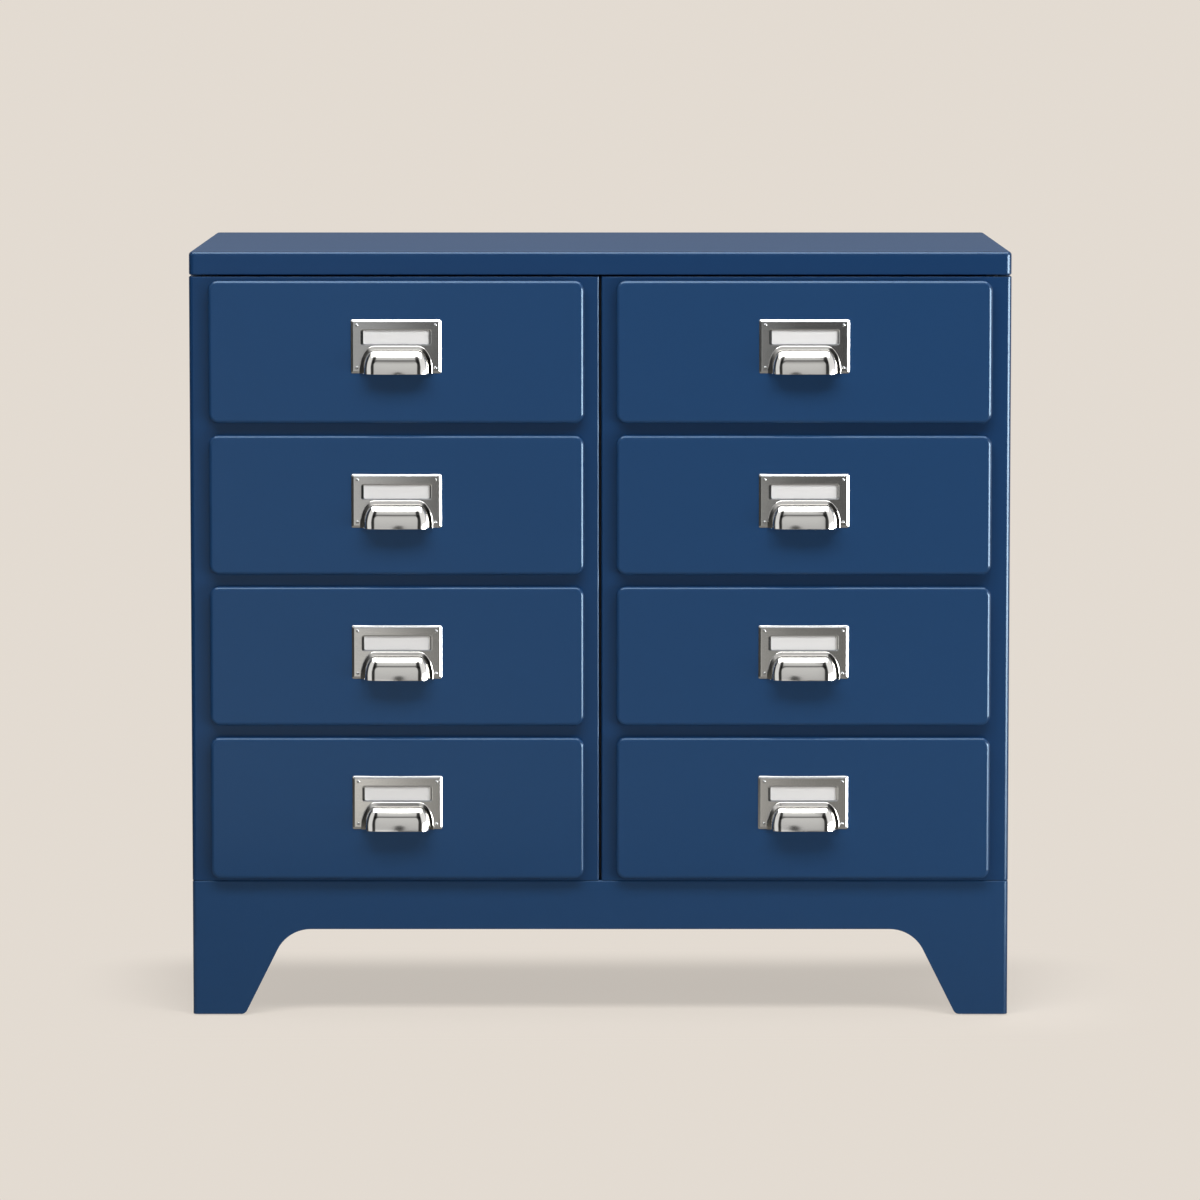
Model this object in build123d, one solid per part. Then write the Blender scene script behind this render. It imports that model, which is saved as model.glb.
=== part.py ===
from build123d import *
from math import atan, cos, degrees, radians, sin
import os

# Small metal drawer cabinet: two four-drawer steel cases side by side under one cover, on one legged base.
# X runs to the right, +Y to the back, +Z up. The origin is the bottom centre of the cabinet, pulls included.
# All sizes are in millimetres.

# ---- cases -----------------------------------------------------------------------------------------------
UNIT_W = 359.0          # width of one case
UNIT_GAP = 2.0          # open seam between the two cases
CASE_D = 380.0          # frame face to the back panel's outer face
CASE_H = 533.0          # height of the cases
ROWS = 4                # drawers in each case
SHEET = 1.2             # case, base and cover sheet
OUTER_BEND = 4.0        # outside radius of the case's outer front edge
SEAM_BEND = 1.6         # outside radius of the front edge beside the seam
INNER_BEND_MIN = 0.4    # least inside radius of a fold
OUTER_STILE = 17.1      # frame left bare beside a drawer front, at the outside
SEAM_STILE = 13.0       # the same beside the seam
BACK_FLANGE = 15.0      # inward lip at the back of the shell
LIP_D = 8.0             # depth of the folded lip round each drawer opening
RAIL = 20.3             # frame between two drawer openings
PAN_FIT = 0.2           # gap round the top and floor pans
PAN_ROOM = 0.9          # gap from a pan's flange to the nearest opening lip
BACK_T = 1.0            # back panel sheet
BACK_INSET = 1.5        # back panel edge to case side
BEAD_D = 2.0            # depth of the pressed beads in the back panel
BEAD_W = 16.0           # width of a bead at its mouth
BEAD_TAPER = 3.0        # slope of a bead's flank, measured across it
BEAD_END = 60.0         # back panel edge to the end of a bead
BEAD_SPAN = 120.0       # distance between the two beads

# ---- drawers ---------------------------------------------------------------------------------------------
TRAVEL = 270.0          # how far a drawer slides before its stop tabs meet the frame
FRONT_D = 9.0           # depth of the pressed front pan
FRONT_T = 1.0           # its sheet
FRONT_CORNER = 8.5      # corner radius of the front, seen from the front
FRONT_EDGE = 3.5        # rolled edge of the front, which the press turns in two facets
FRONT_INNER_EDGE = 2.0  # chamfer inside that edge
FRONT_INNER_CORNER = 4.6  # chamfer inside the corners
FRONT_FLANGE = 20.0     # width of the pan's back flange
FRONT_SEAT = 0.5        # gap between a closed front and the frame
GAP_ROWS = 10.3         # gap between two fronts, one above the other
TOP_REVEAL = 2.9        # frame left bare above the top fronts
BOTTOM_REVEAL = 2.4     # frame left bare below the bottom fronts
OVERLAP_X = 6.0         # how far a front covers the frame beside its opening
TRAY_H = 100.0          # height of the drawer box
TRAY_L = 350.0          # its length
TRAY_T = 1.0            # its sheet
HEM_H = 8.0             # height of the doubled hem on its sides
BACK_DROP = 12.0        # how much lower its back wall is
STOP_W = 14.0           # length of a stop tab
STOP_LAP = 3.0          # how far a stop tab reaches above the opening
STOP_SLACK = 1.0        # travel left at the limit before the tab touches
RUNNER_T = 1.2          # runner angle sheet
RUNNER_H = 20.0         # upright leg
RUNNER_W = 16.0         # leg that the drawer box slides on
RUNNER_START = 2.0      # frame face to the runner's front end
RUN_GAP = 0.3           # running clearance below and beside the drawer box

# ---- label-holder cup pulls ------------------------------------------------------------------------------
PLATE_W = 79.0          # pull plate
PLATE_H = 47.0
PLATE_T = 2.0
PLATE_BEVEL = 1.6       # turned edge of the plate
PLATE_DROP = 34.0       # top of the drawer front to the top of the plate
WINDOW_W = 57.0         # card window
WINDOW_H = 12.0
WINDOW_BEVEL = 1.0      # flare of the window towards the front
WINDOW_DROP = 15.4      # plate top to the window's centre
CARD_W = 60.5           # label card
CARD_H = 21.0
CARD_T = 0.4
CARD_DROP = 1.6         # plate top to the card's top edge
CARD_GAP = 0.15         # room round the card in its pocket
CUP_W = 64.0            # outline of the cup's bead, at the plate
CUP_H = 24.2
CUP_SHOULDER = 13.0     # width of the outline's rounded shoulders
CUP_TOP_R = 10.0        # tight curve at the top of a shoulder; a wide one carries on down its side
CUP_SIDE = 3.0          # straight part of the outline's sides, above the mouth
BEAD_RING_W = 4.0       # bead round the cup
BEAD_RING_T = 1.6       # height of that bead above the plate
DOME_INSET = 5.0        # bead outline to the foot of the dome
DOME_REACH = 15.0       # plate face to the dome's flat front
DOME_KNEE_IN = 2.3      # knee of the dome's flanks: this far in
DOME_KNEE_OUT = 8.8     # and this far out from the plate
FACE_W = 36.0           # flat front of the dome
FACE_H = 11.5
CUP_WALL = 1.2          # wall of the dome

# ---- top cover -------------------------------------------------------------------------------------------
COVER_H = 20.5          # height of the cover's edge
COVER_GAP = 1.5         # dark gap between cover and cases
COVER_CORNER = 5.0      # corner radius in plan
COVER_EDGE = 3.2        # rolled top edge
COVER_INNER_EDGE = 1.8  # chamfer inside that edge
COVER_INNER_CORNER = 2.6  # chamfer inside the corners
COVER_FLANGE = 24.0     # inward flange at the cover's lower edge
SCREW_INSET_X = 18.0    # cover screw to the case's outer side
SCREW_INSET_Y = 18.0    # cover screw to the frame face and to the cover's back
SCREW_R = 2.5           # cover screw shank
SCREW_FIT = 0.05        # gap between shank and clinch nut
SCREW_HEAD_R = 4.6
SCREW_HEAD_H = 3.0
SCREW_HOLE_GAP = 0.4    # gap between shank and sheet
SCREW_TIP = 2.0         # shank beyond the clinch nut
NUT_FLANGE_R = 7.0      # flange of the clinch nut, which keeps the dark gap open
NUT_BARREL_R = 4.2
NUT_BARREL_H = 4.0
NUT_HOLE_GAP = 0.1      # gap between barrel and cover flange

# ---- bolts that tie the cases together -------------------------------------------------------------------
TIE_R = 3.0
TIE_HEAD_R = 6.0
TIE_HEAD_T = 4.0
TIE_NUT_T = 5.0
TIE_HOLE_GAP = 0.4
TIE_NUT_GAP = 0.05
TIE_TIP = 2.0           # bolt beyond its nut
TIE_INSET_Y = 45.0      # tie bolt to the frame face and to the back
SPACER_W = 20.0         # width of the rubber strips that the bolts clamp between the cases

# ---- legged base -----------------------------------------------------------------------------------------
BASE_H = 120.5          # floor to the cases
APRON_H = 43.6          # apron above the arch
FOOT_W = 46.0           # width of a foot at the floor
LEG_SLOPE_X = 14.5      # how far the leg's straight inner edge leans in
LEG_SLOPE_Z = 29.0      # over this height
ARCH_R = 33.0           # curve between leg and apron
FOOT_CORNER = 6.0       # rounded inner corner of a foot
BASE_CORNER = 4.0       # rounded upright corners of the base
FOOT_PLATE = 40.0       # folded plate across the bottom of a leg
BASE_FLANGE = 25.0      # inward flange under the cases
SIDE_SEAM = 110.0       # corner to the joint between a leg and the side apron
GLIDE_R = 11.0          # eight-sided pad under a foot, to its corners
GLIDE_PROUD = 1.0       # how far the pads stand below the feet
GLIDE_INSET = 20.0      # pad centre to the base's outer faces

# ---- places that follow from those sizes -----------------------------------------------------------------
PULL_REACH = PLATE_T + DOME_REACH
FRONT_PROUD = FRONT_SEAT + FRONT_D
FRAME_Y = (FRONT_PROUD + PULL_REACH - CASE_D) / 2
BACK_Y = FRAME_Y + CASE_D
SHELL_D = CASE_D - BACK_T
PANEL_Y = FRAME_Y + SHELL_D
CASE_TOP = BASE_H + CASE_H
COVER_BOTTOM = CASE_TOP + COVER_GAP
TOTAL_W = 2 * UNIT_W + UNIT_GAP
BAY_H = CASE_H / ROWS
OPEN_H = BAY_H - RAIL
FRONT_W = UNIT_W - OUTER_STILE - SEAM_STILE
OPEN_W = FRONT_W - 2 * OVERLAP_X
TRAY_W = OPEN_W - 2 * (RUNNER_T + RUN_GAP)
TRAY_RISE = RUNNER_T + RUN_GAP
TRAY_Y = FRAME_Y - FRONT_SEAT
FRONT_Y = FRAME_Y - FRONT_PROUD
PAN_FLANGE = RAIL / 2 - SHEET - PAN_ROOM
SIDES = {"left": -1, "right": 1}


def block(x, y, z):
    """Box between two values on each axis."""
    return Pos((x[0] + x[1]) / 2, (y[0] + y[1]) / 2, (z[0] + z[1]) / 2) * Box(
        x[1] - x[0], y[1] - y[0], z[1] - z[0])


def along_x(radius, x0, x1, y, z):
    """Round bar that runs left to right."""
    return Pos((x0 + x1) / 2, y, z) * Rot(0, 90, 0) * Cylinder(radius, abs(x1 - x0))


def upright(radius, z0, z1, x, y):
    """Round bar that stands up."""
    return Pos(x, y, (z0 + z1) / 2) * Cylinder(radius, z1 - z0)


def rolled(outline, height, edge):
    """Straight bar of an outline. Its far edge is rolled in, in two facets that follow a round."""
    half = edge * sin(radians(45))
    bar = extrude(outline, height - edge)
    bar += extrude(bar.faces().sort_by(bar_axis(outline))[-1], half, taper=22.5)
    return bar + extrude(bar.faces().sort_by(bar_axis(outline))[-1], edge - half, taper=67.5)


def bar_axis(outline):
    """Axis along which an outline is extruded."""
    face = outline.faces()[0]
    return Axis(face.center(), face.normal_at())


def unit_mid(side):
    """Centre of a case in X. side is -1 for left and 1 for right."""
    return side * (UNIT_GAP + UNIT_W) / 2


def opening_x(side):
    """Left and right edge of a case's drawer openings."""
    seam_edge = UNIT_GAP / 2 + SEAM_STILE + OVERLAP_X
    edges = (side * seam_edge, side * (seam_edge + OPEN_W))
    return min(edges), max(edges)


def opening_z(row):
    """Bottom and top edge of an opening. Row 0 is the top one."""
    middle = CASE_TOP - (row + 0.5) * BAY_H
    return middle - OPEN_H / 2, middle + OPEN_H / 2


def front_z(row):
    """Bottom and top edge of a drawer front."""
    top = CASE_TOP - (TOP_REVEAL if row == 0 else row * BAY_H + GAP_ROWS / 2)
    low = CASE_TOP - (CASE_H - BOTTOM_REVEAL if row == ROWS - 1 else (row + 1) * BAY_H - GAP_ROWS / 2)
    return low, top


# ---- cases -----------------------------------------------------------------------------------------------
def case_plan(side, inset, back, turn=fillet):
    """Outline of a case in plan, its front corners turned, moved in by inset and open to back."""
    width = UNIT_W - 2 * inset
    front = FRAME_Y + inset
    outline = Pos(unit_mid(side), (front + back) / 2) * Rectangle(width, back - front)
    for bend, pick in ((SEAM_BEND, min), (OUTER_BEND, max)):
        corner = pick(outline.vertices().group_by(Axis.Y)[0], key=lambda vertex: abs(vertex.X))
        outline = turn(corner, max(bend - inset, INNER_BEND_MIN))
    return outline


def case_shell(side):
    """Front frame and both sides, folded from one sheet: lips round the drawer openings, and square holes for
    the tie bolts in the side by the seam."""
    outer = case_plan(side, 0, PANEL_Y)
    inner = case_plan(side, SHEET, PANEL_Y - SHEET)
    mouth = Pos(unit_mid(side), PANEL_Y) * Rectangle(UNIT_W - 2 * BACK_FLANGE, 4 * SHEET)
    shell = Pos(0, 0, BASE_H) * extrude(outer - inner - mouth, CASE_H)
    x0, x1 = opening_x(side)
    for row in range(ROWS):
        z0, z1 = opening_z(row)
        shell += block((x0 - SHEET, x1 + SHEET), (FRAME_Y, FRAME_Y + LIP_D), (z0 - SHEET, z1 + SHEET))
        shell -= block((x0, x1), (FRAME_Y - SHEET, FRAME_Y + LIP_D + SHEET), (z0, z1))
    half = TIE_R + TIE_HOLE_GAP
    for y, z in tie_places():
        shell -= block((-UNIT_GAP - SHEET, UNIT_GAP + SHEET), (y - half, y + half), (z - half, z + half))
    return shell


def case_pan(side, plate_z, flange_z):
    """Shallow folded pan that closes a case at its top or bottom, its flange from plate_z to flange_z."""
    outer = case_plan(side, SHEET + PAN_FIT, PANEL_Y - SHEET - PAN_FIT, chamfer)
    inner = case_plan(side, 2 * SHEET + PAN_FIT, PANEL_Y - 2 * SHEET - PAN_FIT, chamfer)
    up = 1 if flange_z > plate_z else -1
    pan = extrude(outer, up * abs(flange_z - plate_z)) - Pos(0, 0, up * SHEET) * extrude(
        inner, up * abs(flange_z - plate_z))
    return Pos(0, 0, plate_z) * pan


def top_pan(side):
    """Top of a case, with the square holes of the cover screws."""
    pan = case_pan(side, CASE_TOP, CASE_TOP - PAN_FLANGE)
    half = SCREW_R + SCREW_HOLE_GAP
    for x, y in cover_screw_places(side):
        pan -= block((x - half, x + half), (y - half, y + half), (CASE_TOP - 2 * SHEET, CASE_TOP + SHEET))
    return pan


def floor_pan(side):
    """Floor of a case."""
    return case_pan(side, BASE_H, BASE_H + PAN_FLANGE)


def bead_profile(depth, width):
    """Trapezoid section of a pressed bead, mouth on the X axis and pressed towards -Y."""
    half = width / 2
    return make_face(Polyline((-half, 0), (half, 0), (half - BEAD_TAPER, -depth),
                              (BEAD_TAPER - half, -depth), close=True))


def back_panel(side):
    """Back of a case, stiffened by two beads pressed inwards."""
    x_mid = unit_mid(side)
    half_w = UNIT_W / 2 - BACK_INSET
    z0, z1 = BASE_H + BACK_INSET, CASE_TOP - BACK_INSET
    panel = block((x_mid - half_w, x_mid + half_w), (PANEL_Y, BACK_Y), (z0, z1))
    length = z1 - z0 - 2 * BEAD_END
    for end in (-1, 1):
        x = x_mid + end * BEAD_SPAN / 2
        ridge = extrude(bead_profile(BEAD_D, BEAD_W), length)
        groove = extrude(bead_profile(BEAD_D, BEAD_W - 2 * BACK_T), length - 2 * BACK_T)
        panel += Pos(x, PANEL_Y, z0 + BEAD_END) * ridge
        panel -= Pos(x, BACK_Y, z0 + BEAD_END + BACK_T) * groove
    return panel


def runner(x_wall, inward, z_low):
    """Angle that a drawer box slides on. It lies on the opening's lip and ends in a tab on the back panel."""
    def span(width):
        return sorted((x_wall, x_wall + inward * width))
    length = (FRAME_Y + RUNNER_START, PANEL_Y)
    angle = block(span(RUNNER_W), length, (z_low, z_low + RUNNER_T))
    angle += block(span(RUNNER_T), length, (z_low, z_low + RUNNER_H))
    angle += block(span(RUNNER_W), (PANEL_Y - RUNNER_T, PANEL_Y), (z_low, z_low + RUNNER_H))
    return angle


def runners(side):
    """The eight runners of a case."""
    x0, x1 = opening_x(side)
    rows = [opening_z(row)[0] for row in range(ROWS)]
    return Compound([runner(x0, 1, z) for z in rows] + [runner(x1, -1, z) for z in rows])


# ---- drawers ---------------------------------------------------------------------------------------------
def drawer_x(side):
    """Centre of a drawer."""
    return sum(opening_x(side)) / 2


def drawer_front(side, row):
    """Pressed pan: rolled front edge, sides and a back flange that the drawer box is welded to."""
    z0, z1 = front_z(row)
    height = z1 - z0
    pan = rolled(Plane.XZ * RectangleRounded(FRONT_W, height, FRONT_CORNER), FRONT_D, FRONT_EDGE)
    hollow = Rectangle(FRONT_W - 2 * FRONT_T, height - 2 * FRONT_T)
    hollow = extrude(Plane.XZ * chamfer(hollow.vertices(), FRONT_INNER_CORNER), FRONT_D - 2 * FRONT_T)
    hollow = chamfer(hollow.faces().sort_by(Axis.Y)[0].edges(), FRONT_INNER_EDGE)
    pan -= Pos(0, -FRONT_T, 0) * hollow
    pan -= Box(FRONT_W - 2 * FRONT_FLANGE, 4 * FRONT_T, height - 2 * FRONT_FLANGE)
    return Pos(drawer_x(side), TRAY_Y, (z0 + z1) / 2) * pan


def drawer_box(side, row):
    """Folded drawer box with hemmed sides and two stop tabs."""
    x_mid = drawer_x(side)
    z0 = opening_z(row)[0] + TRAY_RISE
    z1 = z0 + TRAY_H
    y0, y1 = TRAY_Y, TRAY_Y + TRAY_L
    x0, x1 = x_mid - TRAY_W / 2, x_mid + TRAY_W / 2
    tray = block((x0, x1), (y0, y1), (z0, z1))
    tray -= block((x0 + TRAY_T, x1 - TRAY_T), (y0 + TRAY_T, y1 - TRAY_T), (z0 + TRAY_T, z1 + TRAY_H))
    tray -= block((x0 + TRAY_T, x1 - TRAY_T), (y1 - 2 * TRAY_T, y1 + TRAY_T), (z1 - BACK_DROP, z1 + TRAY_T))
    stop_y = y0 + FRONT_SEAT + LIP_D + TRAVEL + STOP_SLACK
    for wall, inward in ((x0, 1), (x1, -1)):
        hem = sorted((wall, wall + inward * 2 * TRAY_T))
        skin = sorted((wall, wall + inward * TRAY_T))
        tray += block(hem, (y0, y1), (z1 - HEM_H, z1))
        tray += block(skin, (stop_y, stop_y + STOP_W), (z1 - HEM_H, opening_z(row)[1] + STOP_LAP))
    return tray


def plate_mid_z(row):
    """Height of a pull plate's centre."""
    return front_z(row)[1] - PLATE_DROP - PLATE_H / 2


def cup_shoulder(inset):
    """Radii of a shoulder of the cup's outline, moved in by inset, and the angle where the curves meet: a wide
    one up its side, a tight one at its top."""
    tight, rise = CUP_TOP_R - inset, CUP_H - inset - CUP_SIDE
    wide = (CUP_SHOULDER ** 2 + (rise - tight) ** 2 - tight ** 2) / (2 * (CUP_SHOULDER - tight))
    return tight, wide, degrees(atan((rise - tight) / (wide - CUP_SHOULDER)))


def bead_outline():
    """Outer edge of the cup's bead, which runs on below the mouth."""
    tight, wide, turn = cup_shoulder(0)
    half = CUP_W / 2
    flat = half - CUP_SHOULDER
    return make_face([
        Line((-half, -PLATE_T), (half, -PLATE_T)), Line((half, -PLATE_T), (half, CUP_SIDE)),
        CenterArc((half - wide, CUP_SIDE), wide, 0, turn),
        CenterArc((flat, CUP_H - tight), tight, turn, 90 - turn),
        Line((flat, CUP_H), (-flat, CUP_H)),
        CenterArc((-flat, CUP_H - tight), tight, 90, 90 - turn),
        CenterArc((wide - half, CUP_SIDE), wide, 180 - turn, turn),
        Line((-half, CUP_SIDE), (-half, -PLATE_T))])


def arch(inset, low):
    """The cup's outline in flat facets, moved in by inset and run down to low."""
    wide, turn = cup_shoulder(inset)[1:]
    half = CUP_W / 2 - inset
    knees = [(half - wide * (1 - cos(radians(angle))), CUP_SIDE + wide * sin(radians(angle)))
             for angle in (0, turn / 2)]
    return both_ways(knees + [(half - CUP_SHOULDER, CUP_H - inset)], low)


def both_ways(points, low):
    """Face between a row of points and its mirror image, closed at low."""
    right = [(points[0][0], low), *points]
    return make_face(Polyline(right + [(-x, y) for x, y in reversed(right)], close=True))


def cup_form(wall, back, low):
    """Solid of the cup where three faceted forms meet: from the front, from above and from the side. It is
    moved in by wall and runs to back and to low."""
    inset = DOME_INSET + wall
    front = -PLATE_T - DOME_REACH + wall
    half, height, face_x = CUP_W / 2 - inset, CUP_H - inset, FACE_W / 2 - wall
    plan = [(half, -PLATE_T), (half - DOME_KNEE_IN, -PLATE_T - DOME_KNEE_OUT), (face_x, front)]
    side = Polyline((back, low), (back, height), (-PLATE_T, height),
                    (-PLATE_T - DOME_KNEE_OUT, height - DOME_KNEE_IN), (front, FACE_H - wall), (front, low),
                    close=True)
    solid = extrude(Plane.XZ * arch(inset, low), CUP_W, both=True)
    solid &= extrude(both_ways(plan, back), CUP_W, both=True)
    solid &= extrude(Plane.YZ * make_face(side), CUP_W, both=True)
    return Pos(0, 0, -PLATE_H / 2) * solid


def pull_stamping():
    """Label-holder cup pull about its plate's centre, its back on Y = 0 and its front towards -Y."""
    plate = extrude(Plane.XZ * Rectangle(PLATE_W, PLATE_H), PLATE_T)
    plate = chamfer(plate.faces().sort_by(Axis.Y)[0].edges(), PLATE_BEVEL)
    bead = extrude(Plane.XZ * (bead_outline() - arch(BEAD_RING_W, -PLATE_H)), PLATE_T + BEAD_RING_T)
    bead = Pos(0, 0, -PLATE_H / 2) * (bead & block((-CUP_W, CUP_W), (-CUP_W, -PLATE_T), (0, CUP_H)))
    finger_room = cup_form(CUP_WALL, PLATE_T, -PLATE_T)
    return plate + bead + cup_form(0, -PLATE_T / 2, 0) - card_window() - finger_room


def card_window():
    """Flared window in the plate and the shallow card pocket behind it, open at the top."""
    window_z = PLATE_H / 2 - WINDOW_DROP
    depth = CARD_T + 2 * CARD_GAP
    back = Rectangle(WINDOW_W, WINDOW_H)
    flare = degrees(atan(WINDOW_BEVEL / (PLATE_T - depth)))
    hole = extrude(Plane(origin=(0, -depth, window_z), x_dir=(1, 0, 0), z_dir=(0, -1, 0)) * back,
                   PLATE_T - depth, taper=-flare)
    card_low = PLATE_H / 2 - CARD_DROP - CARD_H - CARD_GAP
    half_pocket = CARD_W / 2 + CARD_GAP
    return hole + block((-half_pocket, half_pocket), (-depth, PLATE_T), (card_low, PLATE_H))


def drawer_pull(side, row, stamping):
    """The pull on one drawer."""
    return Pos(drawer_x(side), FRONT_Y, plate_mid_z(row)) * stamping


def label_card(side, row):
    """Blank card in the pull's pocket, against the drawer front."""
    top = plate_mid_z(row) + PLATE_H / 2 - CARD_DROP
    x = drawer_x(side)
    return block((x - CARD_W / 2, x + CARD_W / 2), (FRONT_Y - CARD_GAP - CARD_T, FRONT_Y - CARD_GAP),
                 (top - CARD_H, top))


# ---- top cover -------------------------------------------------------------------------------------------
def cover_screw_places(side):
    """The two cover screws of a case, in X and Y."""
    x = side * (TOTAL_W / 2 - SCREW_INSET_X)
    return [(x, FRAME_Y + SCREW_INSET_Y), (x, BACK_Y - SCREW_INSET_Y)]


def all_screw_places():
    """The cover screws of both cases."""
    return cover_screw_places(-1) + cover_screw_places(1)


def top_cover():
    """Folded lid over both cases, with rounded corners, a rolled top edge and an inward flange below."""
    lid = rolled(RectangleRounded(TOTAL_W, CASE_D, COVER_CORNER), COVER_H, COVER_EDGE)
    hollow = Rectangle(TOTAL_W - 2 * SHEET, CASE_D - 2 * SHEET)
    hollow = extrude(chamfer(hollow.vertices(), COVER_INNER_CORNER), COVER_H - 2 * SHEET)
    hollow = chamfer(hollow.faces().sort_by(Axis.Z)[-1].edges(), COVER_INNER_EDGE)
    lid -= Pos(0, 0, SHEET) * hollow
    lid -= Box(TOTAL_W - 2 * COVER_FLANGE, CASE_D - 2 * COVER_FLANGE, 4 * SHEET)
    lid = Pos(0, FRAME_Y + CASE_D / 2, COVER_BOTTOM) * lid
    for x, y in all_screw_places():
        lid -= Pos(x, y, COVER_BOTTOM - SHEET) * hex_bar(NUT_BARREL_R + NUT_HOLE_GAP, 3 * SHEET)
    return lid


def clinch_nut(x, y):
    """Hexagon nut clinched in the cover's flange; its own flange is the spacer on the case."""
    nut = Pos(x, y, CASE_TOP) * hex_bar(NUT_FLANGE_R, COVER_GAP)
    nut += Pos(x, y, COVER_BOTTOM) * hex_bar(NUT_BARREL_R, NUT_BARREL_H)
    return nut - upright(SCREW_R + SCREW_FIT, CASE_TOP - SHEET, COVER_BOTTOM + 2 * NUT_BARREL_H, x, y)


def hex_bar(radius, height):
    """Hexagonal bar that stands on the origin."""
    return extrude(RegularPolygon(radius, 6), height)


def cover_screw(x, y):
    """Hexagon screw from inside a case up into its clinch nut."""
    seat = CASE_TOP - SHEET
    head = Pos(x, y, seat - SCREW_HEAD_H) * hex_bar(SCREW_HEAD_R, SCREW_HEAD_H)
    return head + upright(SCREW_R, seat, COVER_BOTTOM + NUT_BARREL_H + SCREW_TIP, x, y)


# ---- tie bolts -------------------------------------------------------------------------------------------
def tie_places():
    """The two bolts between the cases, in Y and Z, level with the middle rail."""
    height = CASE_TOP - ROWS // 2 * BAY_H
    return [(FRAME_Y + TIE_INSET_Y, height), (BACK_Y - TIE_INSET_Y, height)]


def tie_bolt(y, z):
    """Hexagon bolt through the facing sides of the cases."""
    seat = -UNIT_GAP / 2 - SHEET
    tip = UNIT_GAP / 2 + SHEET + TIE_NUT_T + TIE_TIP
    head = Pos(seat - TIE_HEAD_T, y, z) * Rot(0, 90, 0) * hex_bar(TIE_HEAD_R, TIE_HEAD_T)
    return head + along_x(TIE_R, seat, tip, y, z)


def tie_nut(y, z):
    """Nut on a tie bolt."""
    seat = UNIT_GAP / 2 + SHEET
    nut = Pos(seat, y, z) * Rot(0, 90, 0) * hex_bar(TIE_HEAD_R, TIE_NUT_T)
    return nut - along_x(TIE_R + TIE_NUT_GAP, seat - TIE_TIP, seat + TIE_NUT_T + TIE_TIP, y, z)


def spacer_strip(y, z):
    """Rubber strip as high as the cases that keeps them apart and shuts the seam, with a hole for a tie bolt."""
    half = TIE_R + TIE_HOLE_GAP
    strip = block((-UNIT_GAP / 2, UNIT_GAP / 2), (y - SPACER_W / 2, y + SPACER_W / 2), (BASE_H, CASE_TOP))
    return strip - block((-UNIT_GAP, UNIT_GAP), (y - half, y + half), (z - half, z + half))


# ---- legged base -----------------------------------------------------------------------------------------
def base_body(inset):
    """Solid inside the base's sides, moved in by inset."""
    outline = RectangleRounded(TOTAL_W - 2 * inset, CASE_D - 2 * inset, BASE_CORNER - inset)
    return Pos(0, FRAME_Y + CASE_D / 2, GLIDE_PROUD) * extrude(outline, BASE_H - GLIDE_PROUD)


def arch_face(width):
    """Opening under an apron between two legs, centred on X = 0 with its foot line on Z = 0."""
    top = BASE_H - APRON_H - GLIDE_PROUD
    foot = width / 2 - FOOT_W
    lean = LEG_SLOPE_X / LEG_SLOPE_Z
    half = [(foot, 0), (foot - lean * top, top)]
    outline = make_face(Polyline((-half[0][0], 0), half[0], half[1], (-half[1][0], top), close=True))
    outline = fillet(outline.vertices().group_by(Axis.Y)[-1], ARCH_R)
    lower = make_face(Polyline((-foot - FOOT_W / 2, -FOOT_W), (foot + FOOT_W / 2, -FOOT_W),
                               (foot + FOOT_W / 2, 0), (-foot - FOOT_W / 2, 0), close=True))
    outline = outline + lower
    corners = [v for v in outline.vertices() if abs(v.Y) < 0.001 and abs(abs(v.X) - foot) < 0.001]
    return fillet(corners, FOOT_CORNER) if corners else outline


def foot_corner(reach, x_end, y_end, z):
    """Square at one corner of the base, reach wide and deep, that runs out past the base's sides."""
    x = (x_end * (TOTAL_W / 2 - reach), x_end * TOTAL_W)
    y = (FRAME_Y + reach, FRAME_Y - CASE_D) if y_end < 0 else (BACK_Y - reach, BACK_Y + CASE_D)
    return block(sorted(x), sorted(y), z)


def base_ring():
    """Whole base before it is parted: sheet sides, top flange, foot plates and the four arches."""
    ring = base_body(0)
    inside = base_body(SHEET)
    span_x, span_y = (-TOTAL_W, TOTAL_W), (FRAME_Y - CASE_D, BACK_Y + CASE_D)
    foot_plate = (0, GLIDE_PROUD + SHEET)
    for x_end in (-1, 1):
        for y_end in (-1, 1):
            inside -= foot_corner(FOOT_PLATE, x_end, y_end, foot_plate)
    ring -= inside - block(span_x, span_y, (BASE_H - SHEET, 2 * BASE_H))
    ring -= block((BASE_FLANGE - TOTAL_W / 2, TOTAL_W / 2 - BASE_FLANGE),
                  (FRAME_Y + BASE_FLANGE, BACK_Y - BASE_FLANGE), (BASE_H - 2 * SHEET, 2 * BASE_H))
    middle = Pos(0, FRAME_Y + CASE_D / 2, GLIDE_PROUD)
    ring -= middle * extrude(Plane.XZ * arch_face(TOTAL_W), CASE_D, both=True)
    ring -= middle * extrude(Plane.YZ * arch_face(CASE_D), TOTAL_W, both=True)
    return ring


def glide_places():
    """The four foot pads, in X and Y."""
    x = TOTAL_W / 2 - GLIDE_INSET
    return [(x_end * x, y) for x_end in (-1, 1) for y in (FRAME_Y + GLIDE_INSET, BACK_Y - GLIDE_INSET)]


def base_part(ring, y_span):
    """The part of the ring between two places in Y."""
    return ring & block((-TOTAL_W, TOTAL_W), y_span, (-BASE_H, 2 * BASE_H))


def foot_glide(x, y):
    """Thin pad under a foot plate."""
    return Pos(x, y, 0) * Rot(0, 0, 22.5) * extrude(RegularPolygon(GLIDE_R, 8), GLIDE_PROUD)


def write(name, shape):
    """Write one node."""
    export_step(shape, f"parts/{name}.step")


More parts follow.
